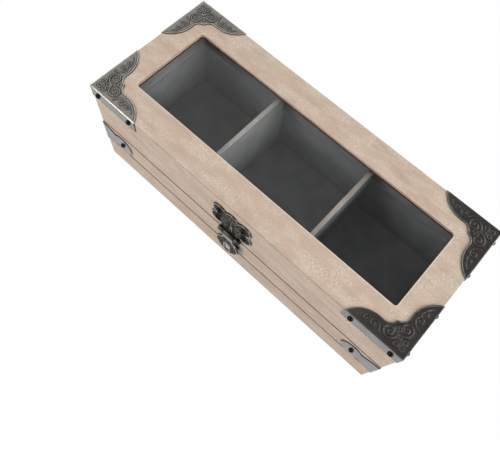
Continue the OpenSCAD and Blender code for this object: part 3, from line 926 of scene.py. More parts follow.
@dataclass
class Blank:
    """A flat sheet cut to an outline, with eased edges, cut edges down to the wood and a pressed face.

    The outline runs counter-clockwise, the holes run clockwise. The first points of the outline lie on its
    cut edge, and those after them on a fold.
    """

    outline: np.ndarray
    thick: float
    face: Callable[[np.ndarray, np.ndarray], Tuple[np.ndarray, np.ndarray, np.ndarray]]
    holes: Tuple[np.ndarray, ...] = ()
    on_edge: Optional[int] = None
    ease: float = 0.22
    pitch: float = 0.8
    backed: bool = False

    def edges(self) -> List[np.ndarray]:
        """The cut edges as lines."""
        cut = self.outline[:self.on_edge] if self.on_edge else np.concatenate([self.outline, self.outline[:1]])
        return [cut, *[np.concatenate([hole, hole[:1]]) for hole in self.holes]]

    def gap(self, places: np.ndarray) -> np.ndarray:
        """Distance of points from the nearest cut edge."""
        return np.min([away(places, line) for line in self.edges()], axis=0)

    def holds(self, places: np.ndarray) -> np.ndarray:
        """Whether points lie on the sheet."""
        odd = np.zeros(len(places), bool)
        x, y = places[:, 0], places[:, 1]
        for loop in (self.outline, *self.holes):
            for (x0, y0), (x1, y1) in zip(loop, np.roll(loop, -1, 0)):
                if y0 != y1:
                    odd ^= ((y0 > y) != (y1 > y)) & (x < x0 + (y - y0) * (x1 - x0) / (y1 - y0))
        return odd

    def spots(self) -> np.ndarray:
        """Points for the mesh: rows beside the cut edges, and an even field inside."""
        rows: List[np.ndarray] = []
        for line in self.edges():
            run = np.gradient(line, axis=0)
            inward = np.stack([-run[:, 1], run[:, 0]], -1) / np.linalg.norm(run, axis=1)[:, None]
            for reach in (0.2, 0.5, 1.0, 2.2):
                row = line + inward * self.ease * reach
                rows.append(row[self.gap(row) > self.ease * reach * 0.93])
        low, high = self.outline.min(0), self.outline.max(0)
        x, y = np.meshgrid(np.arange(low[0], high[0], self.pitch), np.arange(low[1], high[1], self.pitch * 0.866))
        x = x + (np.arange(len(x)) % 2)[:, None] * self.pitch / 2
        field_points = np.stack([x.ravel(), y.ravel()], -1)
        rows.append(field_points[self.gap(field_points) > self.ease * 2.2 + self.pitch * 0.4])
        spots = np.concatenate(rows)
        return spots[self.holds(spots)]

    def skin(self) -> Skin:
        """Meshes the sheet.

        Returns:
            The surface, with the height over the wood as the third value.
        """
        loops = [self.outline, *self.holes]
        sides, count = [], 0
        for loop in loops:
            sides += [(count + k, count + (k + 1) % len(loop)) for k in range(len(loop))]
            count += len(loop)
        points = np.concatenate([*loops, self.spots()])
        made = delaunay_2d_cdt([Vector(point) for point in points], sides, [], 0, 1e-5)
        flat = np.array([tuple(point) for point in made[0]])
        faces = np.array(made[2])
        faces = faces[self.holds(flat[faces].mean(1))]
        gap = self.gap(flat)
        height, patina, wear = self.face(flat, gap)
        top = self.thick + height - drop(gap, self.ease)
        skin = Skin()
        skin.put(np.column_stack([flat, top]), faces, patina, wear)
        for line in self.edges():
            low = np.column_stack([line, np.zeros(len(line))])
            high = np.column_stack([line, np.full(len(line), self.thick - self.ease)])
            skin.grid(np.stack([low, high], 1), 1.0, 0.0)
        if self.backed:
            skin.put(np.column_stack([flat, np.zeros(len(flat))]), faces[:, ::-1], 0.8, 0.0)
        return skin


def trace(centre: Point, holds: Callable[[np.ndarray], np.ndarray], reach: float) -> np.ndarray:
    """Outline of a round form: from its middle outwards, to where the form ends.

    Args:
        centre: The middle.
        holds: Says whether points lie in the form.
        reach: How far it can reach.

    Returns:
        The outline, counter-clockwise, with points a quarter of a millimetre apart.
    """
    turn = np.radians(np.arange(0, 360, 0.5))
    steps = np.arange(0, reach, 0.02)
    ray = np.stack([np.cos(turn), np.sin(turn)], -1)
    spots = np.array(centre) + ray[:, None] * steps[None, :, None]
    inside = holds(spots.reshape(-1, 2)).reshape(len(turn), len(steps))
    ends = np.where(inside.all(1), len(steps) - 1, inside.argmin(1))
    rough = np.array(centre) + ray * steps[ends][:, None]
    closed = np.concatenate([rough, rough[:1]])
    way = np.concatenate([[0], np.cumsum(np.linalg.norm(np.diff(closed, axis=0), axis=1))])
    at = np.linspace(0, way[-1], int(way[-1] / 0.25))[:-1]
    return np.stack([np.interp(at, way, closed[:, k]) for k in (0, 1)], -1)


def dress(piece: bpy.types.Object, finish: bpy.types.Material) -> None:
    """Gives a piece its finish in all its material slots."""
    if not piece.material_slots:
        piece.data.materials.append(finish)
    for slot in piece.material_slots:
        slot.material = finish


def dress_nodes(names: Iterable[str], finish: bpy.types.Material) -> None:
    """Gives solids of the frame their finish.

    Args:
        names: The solids' names.
        finish: The finish.
    """
    for name in names:
        dress(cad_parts[name], finish)
        LOG.info("dressed %s with %s", name, finish.name)


def seat(piece: bpy.types.Object, body: Body, stands_for: Sequence[str]) -> None:
    """Lets a new piece ride on its body in the place of its solid.

    Args:
        piece: The new piece.
        body: The body that carries it.
        stands_for: The solids that it stands for.
    """
    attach(piece, body.value)
    if stands_for:
        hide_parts(*stands_for)
    LOG.info("built %s with %d faces", piece.name, len(piece.data.polygons))


@dataclass
class BoxSizes:
    """Outside sizes of the box that several pieces share."""

    half_l: float = 120.0
    half_w: float = 49.0
    height: float = 77.5
    seam: float = 41.0

    def corner(self, side_x: int, side_y: int) -> Callable[[np.ndarray], np.ndarray]:
        """The frame of one corner: u and v run inwards along the two edges, and z is up.

        Args:
            side_x: -1 for the left side, 1 for the right.
            side_y: -1 for the front, 1 for the back.

        Returns:
            What turns points of the corner into points of the box.
        """
        def place(points: np.ndarray) -> np.ndarray:
            """Points of the corner in the box's frame."""
            x = side_x * (self.half_l - points[:, 0])
            y = side_y * (self.half_w - points[:, 1])
            return np.stack([x, y, points[:, 2]], -1)
        return place


@dataclass
class CornerMount:
    """A mount folded round one corner of the box. Its two halves mirror each other about the corner."""

    side_x: int
    side_y: int
    box: BoxSizes = field(default_factory=BoxSizes)
    sheet: float = 0.6
    fold_r: float = 0.5
    body: Body = Body.LID
    kind: str = "lid_mount"

    def name(self) -> str:
        """The solid that this mount stands for."""
        return f"{self.kind}_{'front' if self.side_y < 0 else 'back'}_{'left' if self.side_x < 0 else 'right'}"

    def half(self) -> Skin:
        """One half of the mount in the corner's frame, in millimetres."""
        raise NotImplementedError

    def bow(self, out: float, z: float) -> np.ndarray:
        """Half of the level round corner of the fold, from the diagonal to the wing.

        Args:
            out: Radius of the corner.
            z: Its height.

        Returns:
            Its points in the corner's frame.
        """
        inner = self.fold_r - self.sheet
        turn = np.radians([45, 60, 75, 90])
        return np.stack([inner - out * np.cos(turn), inner - out * np.sin(turn), np.full(len(turn), z)], -1)

    def build(self, finish: bpy.types.Material) -> bpy.types.Object:
        """Makes the mount and puts it on the box.

        Args:
            finish: Its finish.

        Returns:
            The mount.
        """
        half = self.half()
        skin = Skin()
        skin.take(half, lambda points: points)
        skin.take(half, lambda points: points[:, [1, 0, 2]], True)
        place = self.box.corner(self.side_x, self.side_y)
        piece = skin.mesh(f"{self.name()}_sheet", place, self.side_x * self.side_y < 0)
        dress(piece, finish)
        seat(piece, self.body, [self.name()])
        return piece


@dataclass
class LidMount(CornerMount):
    """Pressed corner mount of the lid: an ogee plate with scrolls on the top and a flange down each side."""

    leg: float = 38.5
    lobe_r: float = 18.4
    lobe_rise: float = 10.1
    hollow_r: float = 5.4
    hollow_turn: float = 95.5
    flange: float = 8.7
    rim_w: float = 0.9
    rim_h: float = 0.1
    relief: float = 0.75
    # Brass on the fold: wear together with a painted highlight.
    rubbed_and_highlight: float = 0.25

    def edge(self) -> Tuple[np.ndarray, float, float]:
        """The ogee edge of one leg.

        Returns:
            Its points from the cusp to the leg's end, the place of the cusp, and of the end of the hollow.
        """
        lobe = np.array([self.leg - math.sqrt(self.lobe_r ** 2 - (self.lobe_rise - self.lobe_r) ** 2),
                         self.lobe_rise - self.lobe_r])
        turn = math.radians(self.hollow_turn)
        hollow = lobe + (self.lobe_r + self.hollow_r) * np.array([math.cos(turn), math.sin(turn)])
        middle, skew = (hollow[0] + hollow[1]) / 2, (hollow[0] - hollow[1]) / 2
        cusp = middle - math.sqrt(self.hollow_r ** 2 / 2 - skew ** 2)
        start = math.atan2(cusp - hollow[1], cusp - hollow[0]) % (2 * math.pi)
        down = np.linspace(start, turn + math.pi, 26)
        along = np.linspace(turn, math.asin(-lobe[1] / self.lobe_r), 90)[1:]
        first = hollow + self.hollow_r * np.stack([np.cos(down), np.sin(down)], -1)
        second = lobe + self.lobe_r * np.stack([np.cos(along), np.sin(along)], -1)
        return np.concatenate([first, second]), cusp, float(first[-1][0])

    @staticmethod
    def scrolls() -> List[Ribbon]:
        """The scroll work of one leg, with what lies on the diagonal."""
        leg = [
            Ribbon.spiral((13.9, 7.0), [(158, 5.0), (205, 3.9), (255, 3.5), (305, 3.35), (355, 3.2), (405, 3.0),
                                        (455, 2.7), (505, 2.3), (555, 1.9), (605, 1.55), (655, 1.2), (705, 0.9),
                                        (750, 0.55)], (0.5, 0.42), 0.20),
            Ribbon.spiral((22.8, 4.7), [(204, 5.6), (180, 3.9), (140, 2.8), (95, 2.2), (50, 2.05), (0, 1.9),
                                        (-50, 1.75), (-100, 1.55), (-150, 1.25), (-210, 0.85), (-260, 0.5)],
                          (0.42, 0.38), 0.17),
            Ribbon.spiral((27.6, 4.3), [(156, 3.0), (120, 2.0), (70, 1.65), (10, 1.4), (-50, 1.25), (-120, 1.0),
                                        (-180, 0.7), (-240, 0.4)], (0.38, 0.34), 0.15),
            Ribbon.stroke([(29.6, 5.3), (30.8, 4.7), (32.0, 3.8), (32.8, 2.7)], (0.36, 0.2), 0.13),
            Ribbon.oval((7.5, 3.9), 1.45, 1.15, -25, 0.44, 0.17),
            Ribbon.oval((11.5, 10.3), 1.6, 0.8, 45, 0.38, 0.16),
        ]
        middle = [
            Ribbon.oval((3.8, 3.8), 1.35, 1.15, 45, 0.44, 0.17),
            Ribbon.oval((7.5, 7.5), 1.2, 1.0, 45, 0.44, 0.17),
            Ribbon.stroke([(5.6, 5.6), (5.75, 5.75)], (0.75, 0.75), 0.2),
        ]
        return leg + [ribbon.flipped() for ribbon in leg] + middle

    def half(self) -> Skin:
        """One half of the mount, from the diagonal along one leg, with its cut edges."""
        edge, cusp, _ = self.edge()
        top = self.box.height + self.sheet
        inner = self.fold_r - self.sheet
        corner = np.linspace(inner, cusp, 62)[:-1]
        runs = np.concatenate([corner, edge[:, 0]])
        ends = np.concatenate([corner, edge[:, 1]])
        ends[-1] = 0.0
        fan = 3
        share = np.concatenate([np.linspace(0, 0.9, 56), 0.9 + 0.1 * np.sin(np.linspace(0, np.pi / 2, 10)[1:])])
        low = self.box.height - self.flange
        flange_z = low + (top - self.fold_r - low) * np.linspace(0, 1, 9)
        bend = np.radians(np.linspace(0, 90, 6))
        rows = [self._row(runs, self.fold_r, z) for z in flange_z]
        rows += [self._row(runs, self.fold_r * math.cos(turn), top - self.fold_r + self.fold_r * math.sin(turn))
                 for turn in bend[1:]]
        side = np.stack(rows, 1)
        flat_u = np.repeat(np.concatenate([np.full(fan, inner), runs])[:, None], len(share), 1)
        reach = np.concatenate([np.full(fan, inner), ends])
        flat_v = inner + (reach - inner)[:, None] * share[None]
        plate = np.stack([flat_u, flat_v], -1)
        height, patina, wear = self._plate_relief(plate.reshape(-1, 2), edge)
        whole = np.concatenate([plate, (top + height).reshape(flat_u.shape)[..., None]], -1)
        skin = Skin()
        # Brass along the bend of the fold: wear with a painted highlight.
        bent = np.clip(1 - np.abs(np.arange(side.shape[1]) - len(flange_z) - 1.5) / 2.5, 0, 1)
        skin.grid(side, 0.0, np.broadcast_to(bent[None] * self.rubbed_and_highlight, side.shape[:2]))
        skin.grid(whole, patina.reshape(flat_u.shape), wear.reshape(flat_u.shape))
        self._edges(skin, side, whole, fan + len(corner))
        return skin

    def _row(self, runs: np.ndarray, out: float, z: float) -> np.ndarray:
        """One level line round the outside: the round corner, then straight along the leg."""
        inner = self.fold_r - self.sheet
        line = np.stack([runs, np.full(len(runs), inner - out), np.full(len(runs), z)], -1)
        return np.concatenate([self.bow(out, z)[:-1], line])

    def _plate_relief(self, places: np.ndarray, edge: np.ndarray) -> Tuple[np.ndarray, np.ndarray, np.ndarray]:
        """Scrolls, the raised rim along the ogee edge and the rubbed folds with their painted highlight.

        Args:
            places: Points on the plate.
            edge: Points of the ogee edge of one leg.

        Returns:
            Height, patina and wear at each point.
        """
        height, patina, wear = Relief(self.scrolls()).read(places)
        gap = away(places, np.concatenate([edge[::-1, ::-1], edge[1:]]))
        raised, valley, crest = rim(gap, self.rim_w, self.rim_h)
        height = self.relief * height * (gap > self.rim_w) + raised - drop(gap, 0.12)
        # Brass next to the fold: wear with a painted highlight.
        near_fold = np.clip(1 - np.minimum(places[:, 0], places[:, 1]) / 0.35, 0, 1)
        return height, np.maximum(patina * (gap > self.rim_w), valley), np.maximum(np.maximum(wear, crest),
                                                                                  near_fold * self.rubbed_and_highlight)

    def _edges(self, skin: Skin, side: np.ndarray, plate: np.ndarray, cusp_column: int) -> None:
        """Adds the cut edges of the sheet, down to the wood.

        Args:
            skin: The surface.
            side: The flange and fold as a grid.
            plate: The plate as a grid.
            cusp_column: The first column whose upper end lies on the ogee edge.
        """
        border = [side[:, 0], np.concatenate([side[-1], plate[-1]]), plate[cusp_column:, -1]]
        for number, line in enumerate(border):
            wood = np.maximum(line, [0, 0, -1e3])
            wood[:, 2] = np.minimum(line[:, 2], self.box.height)
            wall = np.stack([line, wood], 1)
            skin.grid(wall if number == 1 else wall[:, ::-1], 1.0, 0.0)


@dataclass
class BaseMount(CornerMount):
    """Plain mount of the base: two wings folded round the upright edge, each with a notch and a round ear."""

    body: Body = Body.BASE
    kind: str = "base_mount"
    middle: float = 29.4
    half_height: float = 9.8
    notch: float = 11.6
    ear: float = 17.9
    ear_r: float = 8.5

    def outline(self) -> Tuple[np.ndarray, int]:
        """The outline of one wing, round its ear and then down along the fold.

        Returns:
            Its points about the mount's middle height, and how many of them lie on the cut edge.
        """
        inner = self.fold_r - self.sheet
        fall = math.sqrt(self.ear_r ** 2 - (self.ear - self.notch) ** 2)
        share = np.linspace(0, 1, 44)
        run = inner + (self.notch - inner) * share
        upper = np.stack([run, self.half_height - (self.half_height - fall) * np.clip(run / self.notch, 0, 1) ** 1.4],
                         -1)
        start = math.atan2(fall, self.notch - self.ear)
        turn = np.linspace(-start, start, 110)[1:-1]
        ear = np.stack([self.ear + self.ear_r * np.cos(turn), self.ear_r * np.sin(turn)], -1)
        cut = np.concatenate([upper * [1, -1], ear, upper[::-1]])
        fold = self.fold_rows()[1:-1][::-1]
        return np.concatenate([cut, np.stack([np.full(len(fold), inner), fold], -1)]), len(cut)

    def fold_rows(self) -> np.ndarray:
        """Heights of the mesh's rows along the fold, close together at its ends."""
        ease = np.array([0, 0.024, 0.06, 0.12, 0.264])
        ends = self.half_height - ease
        return np.concatenate([-ends, np.linspace(-ends[-1], ends[-1], 18)[1:-1], ends[::-1]])

    @staticmethod
    def face(places: np.ndarray, gap: np.ndarray) -> Tuple[np.ndarray, np.ndarray, np.ndarray]:
        """A plain face, a little rubbed just inside its edges, with painted shade along its upper edge and dark oxide
        on the cut edge.
        """
        # Along the upper edge the face is nearly black: painted shade of the gap under the edge.
        upper_edge_shade = np.clip((0.34 - gap) / 0.12, 0, 1) * (places[:, 1] > 0)
        return np.zeros(len(places)), np.maximum(upper_edge_shade, gap < 0.07), 0.25 * np.exp(-((gap - 0.5) / 0.15) ** 2)

    def half(self) -> Skin:
        """One wing with its half of the round fold."""
        outline, cut = self.outline()
        skin = Skin()
        skin.take(Blank(outline, self.sheet, self.face, on_edge=cut, ease=0.12).skin(),
                  lambda points: np.stack([points[:, 0], -points[:, 2], self.middle + points[:, 1]], -1))
        rows = self.fold_rows()
        low = drop(self.half_height - np.abs(rows), 0.12)
        fold = np.stack([self.bow(self.fold_r - deep, self.middle + row) for row, deep in zip(rows, low)], 1)
        skin.grid(fold, 0.0, 0.25)
        for end, turned in ((0, True), (-1, False)):
            line = fold[:, end]
            wall = np.stack([line, np.maximum(line, [0, 0, -1e3])], 1)
            skin.grid(wall[:, ::-1] if turned else wall, 1.0, 0.0)
        return skin


@dataclass
class HaspPlate:
    """Scalloped plate of the hasp on the front of the lid, with scrolls, a rim and two rolled knuckles."""

    box: BoxSizes = field(default_factory=BoxSizes)
    thick: float = 0.9
    upper: Tuple[float, float, float] = (9.8, 23.5, 5.6)
    lower: Tuple[float, float, float] = (10.5, 12.8, 6.0)
    crown: float = 29.6
    pin_up: float = 2.4
    pin_off: float = 2.0
    knuckle_r: float = 1.7
    bore: float = 0.75
    ends: Tuple[float, float] = (4.6, 8.6)

    def holds(self, places: np.ndarray) -> np.ndarray:
        """Whether points lie on the plate, with the height measured from the seam."""
        x, z = np.abs(places[:, 0]), places[:, 1]
        parts = [np.hypot(x - at, z - up) < r for at, up, r in (self.upper, self.lower)]
        parts.append(np.hypot(x, z - self.crown + self.upper[2]) < self.upper[2])
        parts.append((x < self.upper[0]) & (z > self.lower[1]) & (z < self.upper[1]))
        parts.append((x < self.ends[1]) & (z > self.pin_up) & (z < self.lower[1]))
        notch = (x < self.ends[0]) & (z < self.pin_up + self.knuckle_r + 0.3)
        return np.any(parts, axis=0) & ~notch

    @staticmethod
    def scrolls() -> List[Ribbon]:
        """Scrolls on both sides of an upright leaf."""
        side = [
            Ribbon.spiral((4.9, 16.4), [(250, 5.2), (290, 3.4), (340, 2.7), (390, 2.4), (440, 2.2), (490, 1.9),
                                        (540, 1.55), (600, 1.15), (660, 0.75), (700, 0.45)], (0.5, 0.4), 0.28),
            Ribbon.spiral((5.3, 8.6), [(100, 3.6), (60, 2.6), (10, 2.2), (-50, 1.9), (-120, 1.5), (-190, 1.1),
                                       (-250, 0.7), (-290, 0.4)], (0.46, 0.38), 0.25),
            Ribbon.oval((3.0, 22.9), 2.3, 0.85, 55, 0.38, 0.22),
            Ribbon.stroke([(5.6, 20.4), (6.2, 21.6), (6.0, 22.9)], (0.34, 0.28), 0.2),
        ]
        middle = [Ribbon.oval((0.0, 24.2), 3.0, 1.15, 90, 0.4, 0.25),
                  Ribbon.stroke([(0.0, 19.8), (0.0, 11.2)], (0.55, 0.35), 0.24)]
        return side + [ribbon.mirrored() for ribbon in side] + middle

    def face(self, places: np.ndarray, gap: np.ndarray) -> Tuple[np.ndarray, np.ndarray, np.ndarray]:
        """Scrolls on a field darkened by patina and by painted shade, inside a rim."""
        height, patina, wear = Relief(self.scrolls()).read(places)
        raised, valley, crest = rim(gap, 1.0, 0.25)
        # The whole field is nearly black: patina together with painted shade.
        field_patina_and_shade = (gap > 1.0) * np.where(wear < 0.03, 0.97, 0.6)
        height = height * (gap > 1.0) + raised
        return height, np.maximum.reduce([patina, valley, field_patina_and_shade]), np.maximum(wear, crest)

    def build(self, finish: bpy.types.Material) -> bpy.types.Object:
        """Makes the plate and puts it on the lid.

        Args:
            finish: Its finish.

        Returns:
            The plate.
        """
        front = -self.box.half_w
        skin = Skin()
        outline = trace((0.0, 16.5), self.holds, 26.0)
        skin.take(Blank(outline, self.thick, self.face, pitch=0.38).skin(),
                  lambda points: np.stack([points[:, 0], front - points[:, 2], self.box.seam + points[:, 1]], -1))
        # Both knuckles are nearly black: patina with painted shade.
        for side in (-1, 1):
            skin.tube((side * self.ends[0], side * self.ends[1]), front - self.pin_off, self.box.seam + self.pin_up,
                      self.knuckle_r, self.bore, 0.9)
        piece = skin.mesh("hasp_plate_sheet", lambda points: points, False)
        dress(piece, finish)
        seat(piece, Body.LID, ["hasp_plate"])
        return piece


@dataclass
class HaspTongue:
    """Tongue of the hasp: a rimmed round body with a slot and a tip, hanging from a rolled knuckle."""

    box: BoxSizes = field(default_factory=BoxSizes)
    thick: float = 1.0
    round_r: float = 9.5
    round_z: float = -12.0
    tip_z: float = -25.5
    neck: float = 4.3
    slot_half: float = 1.9
    slot_z: Tuple[float, float] = (-21.5, -10.5)
    pin_up: float = 2.4
    pin_off: float = 2.0
    knuckle_r: float = 1.7
    bore: float = 0.75

    def holds(self, places: np.ndarray) -> np.ndarray:
        """Whether points lie on the tongue, with the height measured from the seam."""
        x, z = np.abs(places[:, 0]), places[:, 1]
        reach = self.round_z - self.tip_z
        lean = math.asin(self.round_r / reach)
        # The straight sides of the tip lie at a tangent to the round body
        side = x * math.cos(lean) + (self.round_z - z) * math.sin(lean)
        tip = (side < self.round_r) & (z < self.round_z - self.round_r * math.sin(lean))
        return (np.hypot(x, z - self.round_z) < self.round_r) | tip | (
            (x < self.neck) & (z > self.round_z) & (z < self.pin_up))

    def slot(self) -> np.ndarray:
        """Outline of the slot, clockwise."""
        turn = np.radians(np.linspace(0, 180, 20))
        top = self.slot_z[1] - self.slot_half + self.slot_half * np.sin(turn)
        low = self.slot_z[0] + self.slot_half - self.slot_half * np.sin(turn)
        sides = np.linspace(self.slot_z[0] + self.slot_half, self.slot_z[1] - self.slot_half, 20)[1:-1]
        left, right = np.full(len(sides), -self.slot_half), np.full(len(sides), self.slot_half)
        return np.concatenate([np.stack([-self.slot_half * np.cos(turn), top], -1),
                               np.stack([right, sides[::-1]], -1),
                               np.stack([self.slot_half * np.cos(turn), low], -1),
                               np.stack([left, sides], -1)])

    @staticmethod
    def scrolls() -> List[Ribbon]:
        """Small scrolls beside the slot and a leaf above it."""
        side = [
            Ribbon.spiral((5.2, -9.4), [(150, 3.2), (110, 2.3), (60, 1.9), (0, 1.6), (-60, 1.3), (-130, 0.95),
                                        (-190, 0.5)], (0.4, 0.34), 0.2),
            Ribbon.spiral((4.9, -15.6), [(60, 2.9), (10, 2.0), (-50, 1.7), (-110, 1.4), (-180, 1.0), (-250, 0.5)],
                          (0.4, 0.34), 0.2),
        ]
        return side + [ribbon.mirrored() for ribbon in side] + [Ribbon.oval((0.0, -6.2), 2.0, 0.9, 90, 0.38, 0.2)]

    def face(self, places: np.ndarray, gap: np.ndarray) -> Tuple[np.ndarray, np.ndarray, np.ndarray]:
        """Scrolls on a field darkened by patina and by painted shade, inside a rim that follows the round body and
        the tip.
        """
        height, patina, wear = Relief(self.scrolls()).read(places)
        raised, valley, crest = rim(gap, 1.1, 0.3)
        slot = away(places, np.concatenate([self.slot(), self.slot()[:1]])) < 1.6
        rimmed = (places[:, 1] < -2.6) & ~slot
        # The whole field is nearly black: patina together with painted shade.
        field_patina_and_shade = (gap > 1.1) * np.where(wear < 0.03, 0.97, 0.6) * (places[:, 1] < -2.6)
        height = height * (gap > 1.1) + raised * rimmed
        return height, np.maximum.reduce([patina, valley * rimmed, field_patina_and_shade]), np.maximum(wear, crest * rimmed)

    def build(self, finish: bpy.types.Material) -> bpy.types.Object:
        """Makes the tongue and hangs it on its pin.

        Args:
            finish: Its finish.

        Returns:
            The tongue.
        """
        axis = -self.box.half_w - self.pin_off
        back = axis - self.knuckle_r + self.thick
        skin = Skin()
        blank = Blank(trace((0.0, -9.0), self.holds, 18.0), self.thick, self.face, (self.slot(),), pitch=0.4,
                      backed=True)
        skin.take(blank.skin(),
                  lambda points: np.stack([points[:, 0], back - points[:, 2], self.box.seam + points[:, 1]], -1))
        # The knuckle is nearly black: patina with painted shade.
        skin.tube((-self.neck, self.neck), axis, self.box.seam + self.pin_up, self.knuckle_r, self.bore, 0.9)
        piece = skin.mesh("hasp_tongue_sheet", lambda points: points, False)
        dress(piece, finish)
        seat(piece, Body.HASP, ["hasp_tongue"])
        return piece


@dataclass
class Woodwork:
    """The boards, rails, panels and the top frame, which keep their solids."""

    long_boards: Tuple[str, ...] = ("base_front_board", "base_back_board", "lid_front_rail", "lid_back_rail")
    short_boards: Tuple[str, ...] = ("base_left_board", "base_right_board", "lid_left_rail", "lid_right_rail")
    dividers: Tuple[str, ...] = ("divider_left", "divider_right")
    beads: Tuple[str, ...] = ("pane_bead_front", "pane_bead_back", "pane_bead_left", "pane_bead_right")

    def build(self) -> None:
        """Gives all wooden pieces their finishes."""
        along = PaleWood(Grain.ALONG_X)
        across = PaleWood(Grain.ALONG_Y)
        paint = CharcoalPaint()
        dress_nodes(self.long_boards, along.material("wood_along"))
        dress_nodes(self.short_boards, across.material("wood_across"))
        dress_nodes(["lid_top_frame"], CutVeneer(along).material("veneer"))
        dress_nodes(self.dividers, PaintedPanel(across, paint).material("painted_divider"))
        # The beads are nearly black above 71 mm: a dark glue line together with painted shade under the pane.
        dress_nodes(self.beads, paint.material("painted_bead", 71.0))
        dress_nodes(["bottom_panel"], PaleWood(Grain.ALONG_X, inside_x_mm=116.0, inside_y_mm=45.0, floor_mm=1.0)
                    .material("wood_bottom"))


@dataclass
class Hardware:
    """The small metal pieces that keep their solids."""

    tacks: Tuple[str, ...] = ("base_mount_tacks", "lid_mount_tacks", "hinge_base_nails", "hinge_lid_nails",
                              "hasp_plate_tacks", "catch_tacks")
    leaves: Tuple[str, ...] = ("hinge_base_leaf_left", "hinge_base_leaf_right", "hinge_lid_leaf_left",
                               "hinge_lid_leaf_right", "catch_plate")
    pins: Tuple[str, ...] = ("hinge_pin_left", "hinge_pin_right", "hasp_pin")

    def build(self, bronze: bpy.types.Material) -> None:
        """Gives them their finishes.

        Args:
            bronze: The finish of the sheet metal.
        """
        dress_nodes(self.tacks, BlackLacquer().material("tack_lacquer"))
        dress_nodes(self.leaves, bronze)
        dress_nodes(self.pins, PinWire().material("pin_metal"))


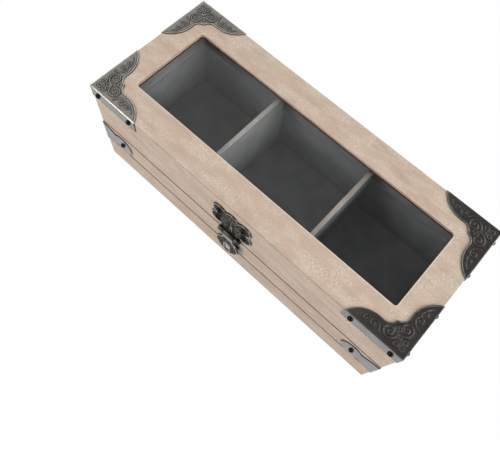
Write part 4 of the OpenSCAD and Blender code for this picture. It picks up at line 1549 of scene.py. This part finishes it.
@dataclass
class Studio:
    """The pale floor, the soft lamps, the sky and the camera."""

    floor_half: float = 5.0
    walls: Tuple[float, float] = (0.50, 0.92)
    wall_top: Tuple[float, float] = (0.26, 0.60)
    ceiling: Tuple[float, float] = (1.00, 0.17)
    eye: Tuple[float, float, float] = (0.0712, -0.1391, 0.3344)
    right: Tuple[float, float, float] = (0.73410, 0.67543, 0.06971)
    down: Tuple[float, float, float] = (0.64845, -0.66692, -0.36708)
    focal_px: float = 498.10
    image_px: int = 500

    def floor(self) -> None:
        """A plain pale floor that shows as white but keeps the box's shadow."""
        mesh = bpy.data.meshes.new("studio_floor")
        work = bmesh.new()
        half, level = self.floor_half, -0.0002
        corners = [work.verts.new((x * half, y * half, level)) for x, y in ((-1, -1), (1, -1), (1, 1), (-1, 1))]
        work.faces.new(corners)
        bmesh.ops.subdivide_edges(work, edges=work.edges, cuts=3, use_grid_fill=True)
        work.to_mesh(mesh)
        work.free()
        piece = bpy.data.objects.new("studio_floor", mesh)
        bpy.context.scene.collection.objects.link(piece)
        sheet = NodeSheet("studio_paper")
        tone = sheet.mix(sheet.noise(300), (0.52, 0.52, 0.52), (0.54, 0.54, 0.54))
        paper = sheet.add("ShaderNodeBsdfDiffuse", {"Color": tone})
        glow = sheet.add("ShaderNodeEmission", {"Color": (1.0, 1.0, 1.0), "Strength": 1.03})
        path = sheet.add("ShaderNodeLightPath")
        seen = sheet.math("MAXIMUM", path.outputs["Is Camera Ray"], path.outputs["Is Glossy Ray"])
        seen = sheet.math("MAXIMUM", seen, path.outputs["Is Transmission Ray"])
        both = sheet.add("ShaderNodeMixShader", {0: sheet.math("MULTIPLY", seen, 0.95), 1: paper.outputs[0],
                                                 2: glow.outputs[0]})
        sheet.tree.links.new(both.outputs[0], sheet.out.inputs[0])
        mesh.materials.append(sheet.material)

    def sky(self) -> None:
        """Bright walls all round under a dim ceiling, which is dimmest towards the right."""
        world = bpy.data.worlds.new("studio_sky")
        bpy.context.scene.world = world
        world.use_nodes = True
        tree = world.node_tree
        tree.nodes.clear()
        out = tree.nodes.new("ShaderNodeOutputWorld")
        back = tree.nodes.new("ShaderNodeBackground")
        place = tree.nodes.new("ShaderNodeTexCoord")
        parts = tree.nodes.new("ShaderNodeSeparateXYZ")
        tree.links.new(place.outputs["Generated"], parts.inputs[0])
        ceiling = self.ramp(tree, parts.outputs[0], (-0.55, 0.15), self.ceiling)
        overhead = self.ramp(tree, parts.outputs[2], self.wall_top, (0.0, 1.0))
        both = tree.nodes.new("ShaderNodeMix")
        tree.links.new(overhead, both.inputs[0])
        tree.links.new(self.ramp(tree, parts.outputs[1], (-0.7, 0.2), self.walls), both.inputs[2])
        tree.links.new(ceiling, both.inputs[3])
        tree.links.new(both.outputs[0], back.inputs["Strength"])
        back.inputs["Color"].default_value = (1.0, 1.0, 1.0, 1.0)
        tree.links.new(back.outputs[0], out.inputs[0])

    @staticmethod
    def ramp(tree: bpy.types.NodeTree, source: Socket, reach: Tuple[float, float],
             to: Tuple[float, float]) -> Socket:
        """A smooth change of one number with another.

        Args:
            tree: The node tree.
            source: The number that leads.
            reach: Where the change starts and ends.
            to: What it runs from and to.

        Returns:
            The changing number.
        """
        node = tree.nodes.new("ShaderNodeMapRange")
        node.interpolation_type = "SMOOTHSTEP"
        for number, value in zip((1, 2, 3, 4), (*reach, *to)):
            node.inputs[number].default_value = value
        tree.links.new(source, node.inputs[0])
        return node.outputs[0]

    def lamp(self, name: str, eye: Sequence[float], aim: Sequence[float], size: float, watts: float) -> None:
        """One square soft lamp.

        Args:
            name: Its name.
            eye: Where it stands, in metres.
            aim: Where it points.
            size: Its side in metres.
            watts: Its power.
        """
        data = bpy.data.lights.new(name, "AREA")
        data.shape = "SQUARE"
        data.size = size
        data.energy = watts
        piece = bpy.data.objects.new(name, data)
        piece.location = eye
        piece.rotation_euler = (Vector(aim) - Vector(eye)).to_track_quat("-Z", "Y").to_euler()
        bpy.context.scene.collection.objects.link(piece)

    def camera(self) -> None:
        """The camera at the photograph's angle."""
        data = bpy.data.cameras.new("camera")
        data.sensor_width = 36.0
        data.lens = self.focal_px / self.image_px * 36.0
        data.clip_start = 0.01
        piece = bpy.data.objects.new("camera", data)
        right = Vector(self.right).normalized()
        up = -Vector(self.down)
        up = (up - right * up.dot(right)).normalized()
        back = right.cross(up)
        turn = Matrix((right, up, back)).transposed().to_4x4()
        piece.matrix_world = Matrix.Translation(Vector(self.eye)) @ turn
        bpy.context.scene.collection.objects.link(piece)
        bpy.context.scene.camera = piece

    def build(self) -> None:
        """Sets up the whole studio."""
        self.floor()
        self.sky()
        self.lamp("key_lamp", (1.35, -0.15, 0.62), (0, 0, 0.06), 0.7, 15.0)
        self.lamp("back_lamp", (0.90, 0.95, 0.50), (0, 0, 0.04), 0.7, 3.5)
        self.lamp("front_lamp", (-0.45, -0.75, 0.60), (-0.03, 0, 0.05), 0.45, 3.6)
        self.camera()
        bpy.context.scene.view_settings.view_transform = "Standard"


def main() -> None:
    """Builds and dresses the sub-assemblies in order."""
    logging.basicConfig(level=logging.INFO, format="%(name)s: %(message)s")
    bronze = AntiqueBronze().material("antique_bronze")
    Woodwork().build()
    Hardware().build(bronze)
    dress_nodes(["glass_pane"], ClearPane().material("pane_glass"))
    for side_x in (-1, 1):
        for side_y in (-1, 1):
            # The front left mount gets the brightest painted highlight on its folds.
            LidMount(side_x, side_y, rubbed_and_highlight=0.85 if side_x + side_y < 0 else 0.45).build(bronze)
            BaseMount(side_x, side_y).build(bronze)
    HaspPlate().build(bronze)
    HaspTongue().build(bronze)
    Studio().build()


if __name__ == "__main__":
    main()
